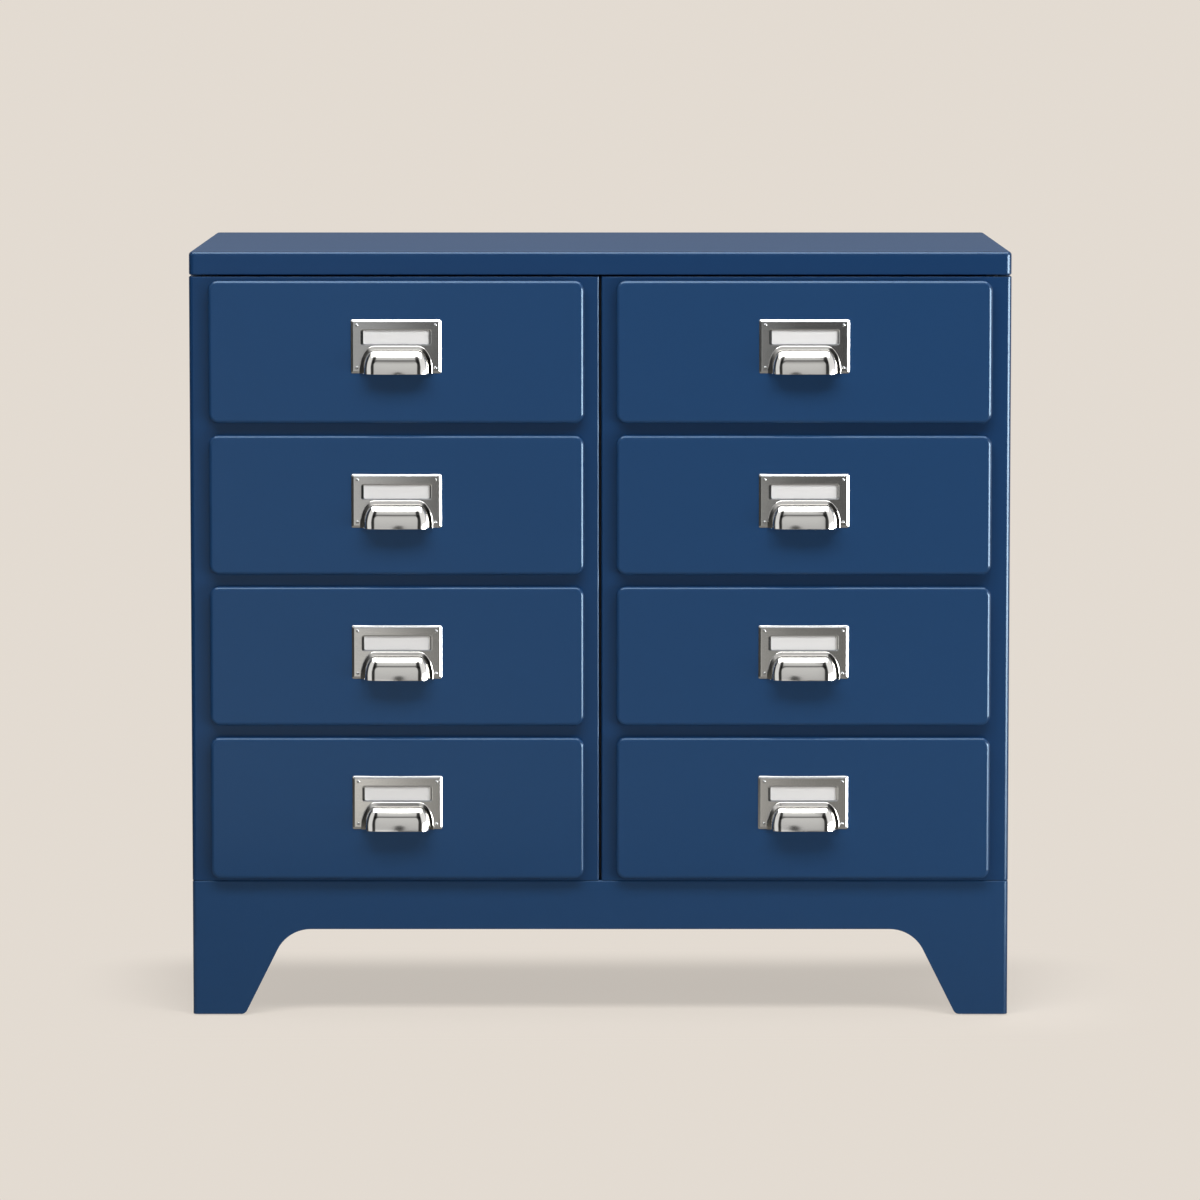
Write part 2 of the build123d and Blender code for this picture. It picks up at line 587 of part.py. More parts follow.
def main():
    """Build and write every piece."""
    os.makedirs("parts", exist_ok=True)
    write("top_cover", top_cover())
    write("cover_clinch_nuts", Compound([clinch_nut(x, y) for x, y in all_screw_places()]))
    write("cover_screws", Compound([cover_screw(x, y) for x, y in all_screw_places()]))
    write("case_tie_bolts", Compound([tie_bolt(y, z) for y, z in tie_places()]))
    write("case_tie_nuts", Compound([tie_nut(y, z) for y, z in tie_places()]))
    write("case_spacer_strips", Compound([spacer_strip(y, z) for y, z in tie_places()]))
    for name, side in SIDES.items():
        write(f"{name}_case_shell", case_shell(side))
        write(f"{name}_top_pan", top_pan(side))
        write(f"{name}_floor_pan", floor_pan(side))
        write(f"{name}_back_panel", back_panel(side))
        write(f"{name}_runners", runners(side))
    ring = base_ring()
    write("base_front", base_part(ring, (FRAME_Y - CASE_D, FRAME_Y + SIDE_SEAM)))
    write("base_back", base_part(ring, (BACK_Y - SIDE_SEAM, BACK_Y + CASE_D)))
    write("base_side_aprons", base_part(ring, (FRAME_Y + SIDE_SEAM, BACK_Y - SIDE_SEAM)))
    write("foot_glides", Compound([foot_glide(x, y) for x, y in glide_places()]))
    stamping = pull_stamping()
    for name, side in SIDES.items():
        for row in range(ROWS):
            drawer = f"{name}_drawer_{row + 1}"
            write(f"{drawer}_front", drawer_front(side, row))
            write(f"{drawer}_box", drawer_box(side, row))
            write(f"{drawer}_pull", drawer_pull(side, row, stamping))
            write(f"{drawer}_card", label_card(side, row))


main()
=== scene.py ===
import logging
import math
from dataclasses import dataclass, replace
from enum import Enum
from typing import Callable, Iterable, Sequence

import bmesh
import bpy
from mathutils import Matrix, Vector


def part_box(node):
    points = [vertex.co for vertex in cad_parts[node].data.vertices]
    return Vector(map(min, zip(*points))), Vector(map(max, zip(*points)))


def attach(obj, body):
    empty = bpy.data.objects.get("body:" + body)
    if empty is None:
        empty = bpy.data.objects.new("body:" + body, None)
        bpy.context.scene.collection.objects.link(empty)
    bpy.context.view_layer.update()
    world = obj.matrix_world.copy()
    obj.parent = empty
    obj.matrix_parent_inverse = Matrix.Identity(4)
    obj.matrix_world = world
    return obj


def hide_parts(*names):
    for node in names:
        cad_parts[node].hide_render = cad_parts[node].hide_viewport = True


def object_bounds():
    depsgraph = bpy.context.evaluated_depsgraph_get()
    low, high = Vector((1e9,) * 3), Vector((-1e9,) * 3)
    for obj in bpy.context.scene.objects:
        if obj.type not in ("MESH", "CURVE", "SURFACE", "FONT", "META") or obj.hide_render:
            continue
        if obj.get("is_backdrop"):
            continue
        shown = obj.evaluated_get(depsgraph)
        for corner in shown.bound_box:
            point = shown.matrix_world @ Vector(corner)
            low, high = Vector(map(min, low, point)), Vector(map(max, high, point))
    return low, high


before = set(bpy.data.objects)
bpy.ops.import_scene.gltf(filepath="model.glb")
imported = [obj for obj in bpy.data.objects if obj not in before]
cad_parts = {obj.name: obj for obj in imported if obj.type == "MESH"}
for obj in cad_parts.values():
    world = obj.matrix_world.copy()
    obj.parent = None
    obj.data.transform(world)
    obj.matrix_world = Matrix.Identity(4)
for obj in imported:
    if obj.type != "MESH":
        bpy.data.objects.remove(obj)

MM = 0.001  # metres in a millimetre
ROWS = 4  # drawers in a case
SHEET = 1.2  # the metal of the cases, the base and the cover
TINY = 0.02  # least radius of a corner that is drawn sharp
WELD, FINE_WELD = 0.004, 0.001  # vertices closer than this become one
SHARP_ANGLE = math.radians(38)  # faces that meet at more than this are shaded apart
SHADING_WEIGHT = 80  # how much more large faces count than small ones where both share a vertex
EDGE_STEPS = 3  # strips across a rounded cut edge
Pair = tuple[float, float]
Triple = tuple[float, float, float]
Colour = tuple[float, float, float]
Row = list[bmesh.types.BMVert]
Placing = Callable[[float, float, float], Triple]
Socket = bpy.types.NodeSocket
Sockets = dict[str, Socket]
log = logging.getLogger("cabinet")


class Side(Enum):
    """The two cases."""

    LEFT = -1
    RIGHT = 1

    @property
    def label(self) -> str:
        """The word that this case's nodes start with."""
        return self.name.lower()


# ---- colour ------------------------------------------------------------------------------------------------
def linear(red: float, green: float, blue: float) -> Colour:
    """Turns a colour as seen on a screen into the linear values that shaders use.

    Args:
        red, green, blue: channels from 0 to 255.

    Returns:
        The three linear channels, from 0 to 1.
    """
    def channel(value: float) -> float:
        """One channel by the sRGB standard's formula."""
        share = value / 255
        return share / 12.92 if share <= 0.04045 else ((share + 0.055) / 1.055) ** 2.4
    return channel(red), channel(green), channel(blue)


# ---- node trees --------------------------------------------------------------------------------------------
class Board:
    """A node tree that is filled by short calls."""

    def __init__(self, tree: bpy.types.NodeTree) -> None:
        """Takes the tree to fill."""
        self.tree = tree

    def add(self, kind: str, inputs: dict | None = None, **settings: object) -> bpy.types.Node:
        """Adds a node.

        Args:
            kind: the node's type name.
            inputs: socket name or number to a plain value, or to the output socket that feeds it.
            settings: properties of the node itself.

        Returns:
            The new node.
        """
        node = self.tree.nodes.new(kind)
        for key, value in settings.items():
            setattr(node, key, value)
        self.fill(node, inputs or {})
        return node

    def fill(self, node: bpy.types.Node, inputs: dict) -> None:
        """Links or sets several inputs of a node."""
        for key, value in inputs.items():
            self.feed(node.inputs[key], value)

    def feed(self, socket: Socket, value: object) -> None:
        """Links or sets one input socket."""
        if isinstance(value, Socket):
            self.tree.links.new(value, socket)
        else:
            socket.default_value = value

    def maths(self, operation: str, first: object, second: object = 0.0) -> Socket:
        """Adds a Math node and returns its result."""
        return self.add("ShaderNodeMath", {0: first, 1: second}, operation=operation).outputs[0]

    def times(self, first: object, *others: object) -> Socket:
        """Multiplies two or more values, from left to right."""
        for other in others:
            first = self.maths("MULTIPLY", first, other)
        return first

    def swing(self, mask: Socket, amount: object) -> Socket:
        """Turns a mask from 0 to 1 into a change of half the amount up or down."""
        return self.times(self.maths("SUBTRACT", mask, 0.5), amount)

    def ramp(self, value: object, span: Pair, ends: Pair = (0.0, 1.0)) -> Socket:
        """Adds a smooth change from one end value to the other while the value crosses the span."""
        return self.add("ShaderNodeMapRange", {"Value": value, "From Min": span[0], "From Max": span[1],
                                               "To Min": ends[0], "To Max": ends[1]},
                        interpolation_type="SMOOTHSTEP").outputs[0]

    def scale(self, vector: object, factor: object) -> Socket:
        """Scales a vector or colour by a factor."""
        return self.add("ShaderNodeVectorMath", {0: vector, "Scale": factor}, operation="SCALE").outputs[0]

    def by_ray(self, seen: Socket, mirrored: Socket, other: Socket) -> Socket:
        """Picks a shader by the ray that asks for it.

        Args:
            seen: for rays from the camera, also through glass.
            mirrored: for glossy rays.
            other: for all the rest.

        Returns:
            The shader that the tree puts out.
        """
        path = self.add("ShaderNodeLightPath").outputs
        direct = self.maths("MAXIMUM", path["Is Camera Ray"], path["Is Transmission Ray"])
        return self.mix(direct, self.mix(path["Is Glossy Ray"], other, mirrored), seen)

    def mix(self, share: Socket, first: Socket, second: Socket) -> Socket:
        """Mixes two shaders: the share is that of the second."""
        return self.add("ShaderNodeMixShader", {0: share, 1: first, 2: second}).outputs[0]


def shader_group(name: str, inputs: dict[str, tuple[str, object]], outputs: dict[str, str],
                 fill: Callable[[Board, bpy.types.Node], Sockets]) -> bpy.types.NodeTree:
    """Builds a shader node group once.

    Args:
        name: the group's name.
        inputs: socket name to its type and default value.
        outputs: socket name to its type.
        fill: makes the nodes from the board and the group's input node, and returns what feeds each output.

    Returns:
        The group's node tree.
    """
    if name in bpy.data.node_groups:
        return bpy.data.node_groups[name]
    tree = bpy.data.node_groups.new(name, "ShaderNodeTree")
    for label, (kind, value) in inputs.items():
        tree.interface.new_socket(label, in_out="INPUT", socket_type=kind).default_value = value
    for label, kind in outputs.items():
        tree.interface.new_socket(label, in_out="OUTPUT", socket_type=kind)
    board = Board(tree)
    board.add("NodeGroupOutput", fill(board, board.add("NodeGroupInput")))
    return tree


def mottle_group() -> bpy.types.NodeTree:
    """Slow cloudy change of a colour over a surface, with a mask for its gloss.

    Returns:
        The group, with the outputs Color and Mask.
    """
    def fill(board: Board, enter: bpy.types.Node) -> Sockets:
        """Makes the cloud and shades the colour by it.

        Args:
            board: the group's tree.
            enter: the group's input node.

        Returns:
            The group's outputs by name.
        """
        place = board.add("ShaderNodeTexCoord").outputs["Object"]
        cloud = board.add("ShaderNodeTexNoise", {"Vector": place, "Scale": enter.outputs["Scale"],
                                                 "Detail": 4.0, "Roughness": 0.55}).outputs["Fac"]
        value = board.maths("ADD", board.swing(cloud, enter.outputs["Amount"]), 1.0)
        shade = board.add("ShaderNodeHueSaturation", {"Color": enter.outputs["Color"], "Value": value})
        return {"Color": shade.outputs["Color"], "Mask": cloud}
    inputs = {"Color": ("NodeSocketColor", (1, 1, 1, 1)), "Amount": ("NodeSocketFloat", 0.1),
              "Scale": ("NodeSocketFloat", 10.0)}
    return shader_group("mottle", inputs, {"Color": "NodeSocketColor", "Mask": "NodeSocketFloat"}, fill)


def grain_group() -> bpy.types.NodeTree:
    """Fine grain that can be stretched along one axis: orange peel, brushing or paper fibre.

    Returns:
        The group, with the output Height.
    """
    def fill(board: Board, enter: bpy.types.Node) -> Sockets:
        """Stretches the piece's own coordinates and makes the grain.

        Args:
            board: the group's tree.
            enter: the group's input node.

        Returns:
            The group's outputs by name.
        """
        place = board.add("ShaderNodeTexCoord").outputs["Object"]
        drawn = board.add("ShaderNodeVectorMath", {0: place, 1: enter.outputs["Stretch"]},
                          operation="MULTIPLY")
        fine = board.add("ShaderNodeTexNoise", {"Vector": drawn.outputs[0], "Scale": enter.outputs["Scale"],
                                                "Detail": 3.0, "Roughness": 0.6}).outputs["Fac"]
        return {"Height": fine}
    inputs = {"Stretch": ("NodeSocketVector", (1, 1, 1)), "Scale": ("NodeSocketFloat", 500.0)}
    return shader_group("grain", inputs, {"Height": "NodeSocketFloat"}, fill)


# ---- finishes ----------------------------------------------------------------------------------------------
@dataclass(frozen=True)
class Finish:
    """One surface finish: colour, gloss, cloudiness and grain.

    Colours are linear. Scales are in cycles per metre, and the grain's depth is in metres. gloss_swing is how
    much the roughness follows the clouds, and grain_gloss how much it follows the grain.
    """

    name: str
    slot: str
    colour: Colour
    roughness: float
    metallic: float = 0.0
    specular: float = 0.5
    gloss_tint: Colour = (1.0, 1.0, 1.0)
    cloud: float = 0.05
    cloud_scale: float = 6.0
    gloss_swing: float = 0.06
    grain_scale: float = 900.0
    grain_stretch: Triple = (1.0, 1.0, 1.0)
    grain_depth: float = 0.00002
    grain_gloss: float = 0.0

    def material(self) -> bpy.types.Material:
        """Builds the finish's material on first use.

        Returns:
            The material.
        """
        if self.name in bpy.data.materials:
            return bpy.data.materials[self.name]
        made = bpy.data.materials.new(self.name)
        made.use_nodes = True
        board = Board(made.node_tree)
        mottle = board.add("ShaderNodeGroup", node_tree=mottle_group())
        board.fill(mottle, {"Color": (*self.colour, 1), "Amount": self.cloud, "Scale": self.cloud_scale})
        grain = board.add("ShaderNodeGroup", node_tree=grain_group())
        board.fill(grain, {"Stretch": self.grain_stretch, "Scale": self.grain_scale})
        slow = board.swing(mottle.outputs["Mask"], self.gloss_swing)
        fast = board.swing(grain.outputs["Height"], self.grain_gloss)
        rough = board.maths("ADD", board.maths("ADD", slow, fast), self.roughness)
        bump = board.add("ShaderNodeBump", {"Height": grain.outputs["Height"], "Distance": self.grain_depth,
                                            "Strength": 1.0})
        board.fill(made.node_tree.nodes["Principled BSDF"],
                   {"Base Color": mottle.outputs["Color"], "Roughness": rough, "Metallic": self.metallic,
                    "Specular IOR Level": self.specular, "Specular Tint": (*self.gloss_tint, 1),
                    "Normal": bump.outputs["Normal"]})
        return made


FRONT_ENAMEL = Finish("front_enamel", "blue_enamel", linear(22.5, 52.5, 88.5), 0.22, specular=0.45,
                      gloss_tint=(0.62, 0.84, 1.0), cloud_scale=3.0, gloss_swing=0.04, grain_scale=700.0,
                      grain_depth=0.000006)
# Darker copy of the front enamel for the case shells, inner pans and cover. Part of it is the cover's own
# darker tone. Part is painted shade for the shadow that the proud drawer fronts cast on the frame between and
# beside them.
CASE_ENAMEL_PAINTED_SHADE = replace(FRONT_ENAMEL, name="case_enamel_painted_shade", colour=linear(16, 46, 82))
GREY_ENAMEL = Finish("grey_drawer_enamel", "grey_enamel", linear(128, 131, 134), 0.42, specular=0.4,
                     cloud=0.06, cloud_scale=5.0, grain_scale=700.0, grain_depth=0.000015)
POLISHED_NICKEL = Finish("polished_nickel", "nickel_plate", linear(226, 224, 220), 0.09, metallic=1.0,
                         cloud=0.03, cloud_scale=40.0, gloss_swing=0.03, grain_scale=160.0,
                         grain_depth=0.000004)
SATIN_NICKEL = Finish("satin_nickel", "nickel_plate", linear(200, 202, 204), 0.15, metallic=1.0, cloud=0.08,
                      cloud_scale=25.0, gloss_swing=0.05, grain_scale=60.0, grain_stretch=(1.0, 30.0, 60.0),
                      grain_depth=0.000008, grain_gloss=0.1)
ZINC = Finish("zinc_plated_steel", "zinc_steel", linear(176, 178, 180), 0.34, metallic=1.0, cloud=0.16,
              cloud_scale=45.0, gloss_swing=0.16, grain_scale=220.0, grain_depth=0.00001)
BLACK_OXIDE = replace(ZINC, name="black_oxide_steel", colour=linear(38, 38, 40), roughness=0.5)
CARD = Finish("label_card", "card", linear(190, 190, 190), 0.72, specular=0.25, cloud=0.03, cloud_scale=60.0,
              grain_scale=1500.0, grain_stretch=(0.5, 1.0, 1.6), grain_depth=0.00003)
RUBBER = Finish("black_rubber", "black_plastic", linear(34, 34, 35), 0.68, specular=0.3, cloud=0.15,
                cloud_scale=120.0, grain_depth=0.00004)


# ---- meshes ------------------------------------------------------------------------------------------------
def arc(centre: Pair, radii: Pair, start: float, end: float, steps: int) -> list[Pair]:
    """Points along an elliptical arc.

    Args:
        centre: its centre.
        radii: its two half axes.
        start, end: angles in degrees, counted from the first axis.
        steps: how many straight pieces it is cut into.

    Returns:
        Both ends and the points between them.
    """
    angles = [math.radians(start + (end - start) * step / steps) for step in range(steps + 1)]
    return [(centre[0] + radii[0] * math.cos(a), centre[1] + radii[1] * math.sin(a)) for a in angles]


def rounded_rectangle(half_u: float, half_v: float, radius: float, steps: int) -> list[Pair]:
    """Outline of a rectangle with rounded corners, which always has the same number of points.

    Args:
        half_u, half_v: half its sizes.
        radius: corner radius, which is cut down to what fits.
        steps: strips across each corner.

    Returns:
        The outline's points, from the right-hand end of the first corner.
    """
    bend = max(min(radius, half_u, half_v), TINY)
    u, v = half_u - bend, half_v - bend
    corners = [(u, v), (-u, v), (-u, -v), (u, -v)]
    return [point for turn, corner in enumerate(corners)
            for point in arc(corner, (bend, bend), 90 * turn, 90 * turn + 90, steps)]


class Skin:
    """A mesh that is put together from rows of points, given in millimetres.

    A row may also say where the other side of the sheet lies. close_sheet() then adds that side and the cut
    edges.
    """

    def __init__(self) -> None:
        """Starts an empty mesh."""
        self.bm = bmesh.new()
        self.behind = self.bm.verts.layers.float_vector.new("behind")

    def ring(self, points: Iterable[Sequence[float]],
             behind: Iterable[Sequence[float]] | None = None) -> Row:
        """Adds a row of vertices.

        Args:
            points: where they are.
            behind: the same points on the other side of the sheet, or nothing for a closed form.

        Returns:
            The new vertices.
        """
        row = [self.bm.verts.new(Vector(point) * MM) for point in points]
        for vertex, other in zip(row, behind or []):
            vertex[self.behind] = Vector(other) * MM
        return row

    def face(self, corners: Sequence[bmesh.types.BMVert]) -> None:
        """Adds one face."""
        self.bm.faces.new(corners)

    def bridge(self, first: Row, second: Row, closed: bool = True) -> None:
        """Joins two rows of equal length by four-sided faces.

        Args:
            first, second: the rows.
            closed: True if the last points are joined to the first ones too.
        """
        count = len(first)
        for here in range(count if closed else count - 1):
            there = (here + 1) % count
            self.face((first[here], first[there], second[there], second[here]))

    def loft(self, rows: Sequence[Row], closed: bool = True) -> None:
        """Joins each row to the next."""
        for first, second in zip(rows, rows[1:]):
            self.bridge(first, second, closed)

    def prism(self, outline: Sequence[Pair], place: Placing, span: Pair) -> None:
        """Adds a closed form of constant section.

        Args:
            outline: its section.
            place: turns a section's point and a place along the form into a point.
            span: where it starts and ends.
        """
        ends = [self.ring([place(u, v, along) for u, v in outline]) for along in span]
        self.bridge(*ends)
        for end in ends:
            self.face(end)

    def close_sheet(self) -> None:
        """Adds the other side of the sheet and the cut edges between the two sides."""
        bmesh.ops.remove_doubles(self.bm, verts=self.bm.verts, dist=WELD * MM)
        faces, rim = list(self.bm.faces), [edge for edge in self.bm.edges if edge.is_boundary]
        partner = {vertex: self.bm.verts.new(vertex[self.behind]) for vertex in list(self.bm.verts)}
        for face in faces:
            self.face([partner[vertex] for vertex in reversed(face.verts)])
        for start, end in [edge.verts for edge in rim]:
            self.face((start, end, partner[end], partner[start]))

    def finish(self, name: str, finish: Finish, merge: float = WELD) -> bpy.types.Object:
        """Closes the seams, turns the faces outwards and makes the object.

        Args:
            name: the object's name.
            finish: what it is covered with.
            merge: vertices closer than this many millimetres become one.

        Returns:
            The new object, whose place is in its mesh.
        """
        bmesh.ops.remove_doubles(self.bm, verts=self.bm.verts, dist=merge * MM)
        bmesh.ops.recalc_face_normals(self.bm, faces=self.bm.faces)
        self.bm.verts.layers.float_vector.remove(self.behind)
        mesh = bpy.data.meshes.new(name)
        self.bm.to_mesh(mesh)
        self.bm.free()
        mesh.materials.append(finish.material())
        shade(mesh)
        return new_object(name, mesh)


def new_object(name: str, data: bpy.types.ID) -> bpy.types.Object:
    """Puts a mesh, lamp or camera into the scene.

    Args:
        name: its name.
        data: the mesh, lamp or camera.

    Returns:
        The object.
    """
    made = bpy.data.objects.new(name, data)
    bpy.context.scene.collection.objects.link(made)
    return made


def shade(mesh: bpy.types.Mesh) -> None:
    """Shades a mesh smooth up to its sharp edges."""
    mesh.shade_smooth()
    mesh.set_sharp_from_angle(angle=SHARP_ANGLE)


def baked(piece: bpy.types.Object) -> bpy.types.Object:
    """Turns a piece with modifiers into a plain mesh under the same name.

    Args:
        piece: the piece, whose modifiers are removed.

    Returns:
        The same piece.
    """
    bpy.context.view_layer.update()
    result = bpy.data.meshes.new_from_object(piece.evaluated_get(bpy.context.evaluated_depsgraph_get()))
    piece.modifiers.clear()
    piece.data = result
    result.name = piece.name
    return piece


def softened(piece: bpy.types.Object, edge: float = 0.0, limit: float = 50.0) -> bpy.types.Object:
    """Rounds a piece's sharp edges and evens its shading.

    Args:
        piece: the piece.
        edge: width of the rounding in millimetres, or 0 for none.
        limit: edges sharper than this angle in degrees are rounded.

    Returns:
        The same piece, as a plain mesh.
    """
    if edge:
        bevel = piece.modifiers.new("edges", "BEVEL")
        bevel.width, bevel.segments, bevel.limit_method = edge * MM, EDGE_STEPS, "ANGLE"
        bevel.angle_limit = math.radians(limit)
        shade(baked(piece).data)
    even = piece.modifiers.new("even_shading", "WEIGHTED_NORMAL")
    even.keep_sharp, even.weight = True, SHADING_WEIGHT
    return baked(piece)


def place_in(piece: bpy.types.Object, body: str, slot: str, *nodes: str) -> bpy.types.Object:
    """Fixes a finished piece to its body and says which nodes it stands for.

    Args:
        piece: the piece.
        body: the body that it moves with.
        slot: not used.
        nodes: the nodes that it replaces, if any.

    Returns:
        The same piece.
    """
    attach(piece, body)
    if nodes:
        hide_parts(*nodes)
    log.info("%s rides on %s and stands for %s", piece.name, body, ", ".join(nodes) or "nothing")
    return piece


def copy_at(piece: bpy.types.Object, name: str, shift: Vector) -> bpy.types.Object:
    """Copies a piece's mesh to another place, as a new object.

    Args:
        piece: the piece.
        name: the copy's name.
        shift: how far the copy is moved, in metres.

    Returns:
        The copy.
    """
    mesh = piece.data.copy()
    for vertex in mesh.vertices:
        vertex.co += shift
    return new_object(name, mesh)


def box_mm(node: str) -> tuple[Vector, Vector]:
    """Lowest and highest corner of a node in millimetres."""
    low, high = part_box(node)
    return low / MM, high / MM


# ---- folded pans: drawer fronts and top cover --------------------------------------------------------------
@dataclass
class FoldedPan:
    """A sheet pan with rounded corners, a rolled far edge and an inward flange on its near side."""

    half_u: float
    half_v: float
    depth: float
    corner: float
    edge: float
    sheet: float
    flange: float
    fold: float = 1.5
    steps: int = 8

    def profile(self) -> list[Pair]:
        """Draws the section of the sheet.

        Returns:
            Inset and height pairs, from the inner face round the flange to the outer face.
        """
        def turned(roll: float, fold: float) -> list[Pair]:
            """One face of the sheet, from the rolled edge down to the flange."""
            top = arc((self.edge, self.depth - self.edge), (roll, roll), 90, 180, self.steps)
            return top + arc((self.fold, self.fold), (fold, fold), 180, 270, self.steps // 2)
        inside = turned(self.edge - self.sheet, max(self.fold - self.sheet, TINY))
        outside = turned(self.edge, self.fold)
        return inside + [(self.flange, self.sheet), (self.flange, 0.0)] + outside[::-1]

    def build(self, name: str, finish: Finish, put: Placing) -> bpy.types.Object:
        """Makes the pan.

        Args:
            name: the piece's name.
            finish: its finish.
            put: turns a place across, up and out of the pan into a point in millimetres.

        Returns:
            The finished piece.
        """
        skin = Skin()
        rings = []
        for inset, height in self.profile():
            half_u, half_v, corner = (size - inset for size in (self.half_u, self.half_v, self.corner))
            outline = rounded_rectangle(half_u, half_v, corner, self.steps)
            rings.append(skin.ring([put(u, v, height) for u, v in outline]))
        skin.loft(rings)
        skin.face(rings[0])
        skin.face(rings[-1])
        return softened(skin.finish(name, finish))


# ---- bent sheet --------------------------------------------------------------------------------------------
def bend(centre: Pair, start: Pair, end: Pair, radius: float, steps: int) -> list[Pair]:
    """Quarter bend round a centre.

    Args:
        centre: middle of the bend.
        start, end: directions from the centre to both ends of the bend, a right angle apart.
        radius: its radius.
        steps: strips across it.

    Returns:
        Points from the start to the end.
    """
    turns = [math.radians(90 * step / steps) for step in range(steps + 1)]
    return [(centre[0] + radius * (start[0] * math.cos(a) + end[0] * math.sin(a)),
             centre[1] + radius * (start[1] * math.cos(a) + end[1] * math.sin(a))) for a in turns]


# ---- cases -------------------------------------------------------------------------------------------------
@dataclass
class Case:
    """One case: the shell with its drawer openings. The other sheets keep the shape of their own nodes."""

    side: Side
    sheet: float = SHEET
    outer_bend: float = 4.0
    seam_bend: float = 1.6
    back_bend: float = 1.6
    back_flange: float = 15.0
    lip: float = 8.0
    lip_fold: float = 1.8
    overlap: float = 6.0
    cut_edge: float = 0.35
    steps: int = 8

    def __post_init__(self) -> None:
        """Reads the shell's place, and that of its openings, from the nodes."""
        self.low, self.high = box_mm(f"{self.side.label}_case_shell")
        front_low, front_high = box_mm(f"{self.side.label}_drawer_1_front")
        self.opening_x = (front_low.x + self.overlap, front_high.x - self.overlap)

    def openings_z(self) -> list[Pair]:
        """Finds the drawer openings from the nodes.

        Returns:
            Bottom and top edge of each, from the lowest up.
        """
        runner_low, _ = box_mm(f"{self.side.label}_runners")
        bay = (self.high.z - self.low.z) / ROWS
        below = runner_low.z - self.low.z
        return [(self.low.z + row * bay + below, self.low.z + (row + 1) * bay - below) for row in range(ROWS)]

    def plan(self, inset: float) -> list[Pair]:
        """Line of the shell from above, from one back flange round the front to the other.

        Args:
            inset: distance in from the sheet's outer side.

        Returns:
            The line's points, as many for each inset.
        """
        outer = self.side.value
        far, near = (self.high.x, self.low.x) if outer > 0 else (self.low.x, self.high.x)
        back, front = self.high.y, self.low.y
        hole = [x + shift for x, shift in zip(self.opening_x, (-self.lip_fold, self.lip_fold))]
        return [(far - outer * self.back_flange, back - inset),
                *self.corner(far, back, -outer, -1, self.back_bend, inset),
                *self.corner(far, front, -outer, 1, self.outer_bend, inset)[::-1],
                *((x, front + inset) for x in sorted(hole, reverse=outer > 0)),
                *self.corner(near, front, outer, 1, self.seam_bend, inset),
                *self.corner(near, back, outer, -1, self.back_bend, inset)[::-1],
                (near + outer * self.back_flange, back - inset)]

    def corner(self, x: float, y: float, in_x: int, in_y: int, radius: float, inset: float) -> list[Pair]:
        """Rounded corner of the plan, from the front or back face to the side face.

        Args:
            x, y: where the two faces would meet.
            in_x, in_y: directions from there to the case's middle, 1 or -1.
            radius: outer radius of the bend.
            inset: distance in from the sheet's outer side.

        Returns:
            The corner's points.
        """
        centre = (x + in_x * radius, y + in_y * radius)
        return bend(centre, (0, -in_y), (-in_x, 0), radius - inset, self.steps)

    def opening_row(self, skin: Skin, z_span: Pair, spread: Pair, depth: Pair) -> Row:
        """Adds one row of points round an opening.

        Args:
            skin: the mesh.
            z_span: bottom and top of the opening.
            spread: how far outside the opening's edge the row lies, on the outer and on the other side.
            depth: how far behind the front the row lies, on the outer and on the other side.

        Returns:
            The row's four vertices.
        """
        (x0, x1), (z0, z1) = self.opening_x, z_span
        rows = []
        for out, deep in zip(spread, depth):
            corners = [(x0 - out, z0 - out), (x1 + out, z0 - out), (x1 + out, z1 + out), (x0 - out, z1 + out)]
            rows.append([(x, self.low.y + deep, z) for x, z in corners])
        return skin.ring(*rows)

    def shell(self) -> bpy.types.Object:
        """Makes the shell: one bent sheet with lips folded in round its openings.

        Returns:
            The shell.
        """
        skin = Skin()
        outside, inside = self.plan(0), self.plan(self.sheet)
        fold = self.lip_fold
        edges = [edge for z0, z1 in self.openings_z() for edge in (z0 - fold, z1 + fold)]
        rows = [skin.ring([(x, y, z) for x, y in outside], [(x, y, z) for x, y in inside])
                for z in (self.low.z, *edges, self.high.z)]
        before_hole = len(outside) // 2 - 1
        for level, (lower, upper) in enumerate(zip(rows, rows[1:])):
            for here in range(len(outside) - 1):
                if level % 2 == 0 or here != before_hole:
                    skin.face((lower[here], lower[here + 1], upper[here + 1], upper[here]))
        turned = bend((fold, fold), (0, -1), (-1, 0), fold, self.steps)
        turned_inside = bend((fold, fold), (0, -1), (-1, 0), fold - self.sheet, self.steps)
        for z_span in self.openings_z():
            folds = [self.opening_row(skin, z_span, (out, out_in), (deep, deep_in))
                     for (out, deep), (out_in, deep_in) in zip(turned, turned_inside)]
            skin.loft([*folds, self.opening_row(skin, z_span, (0, self.sheet), (self.lip, self.lip))])
        skin.close_sheet()
        # The shell takes the darker enamel copy, whose extra darkness is painted shade on the frame round the
        # drawers.
        return softened(skin.finish(f"{self.side.label}_case_skin", CASE_ENAMEL_PAINTED_SHADE), self.cut_edge)

    def build(self) -> None:
        """Makes and places the shell."""
        place_in(self.shell(), "cabinet", CASE_ENAMEL_PAINTED_SHADE.slot, f"{self.side.label}_case_shell")


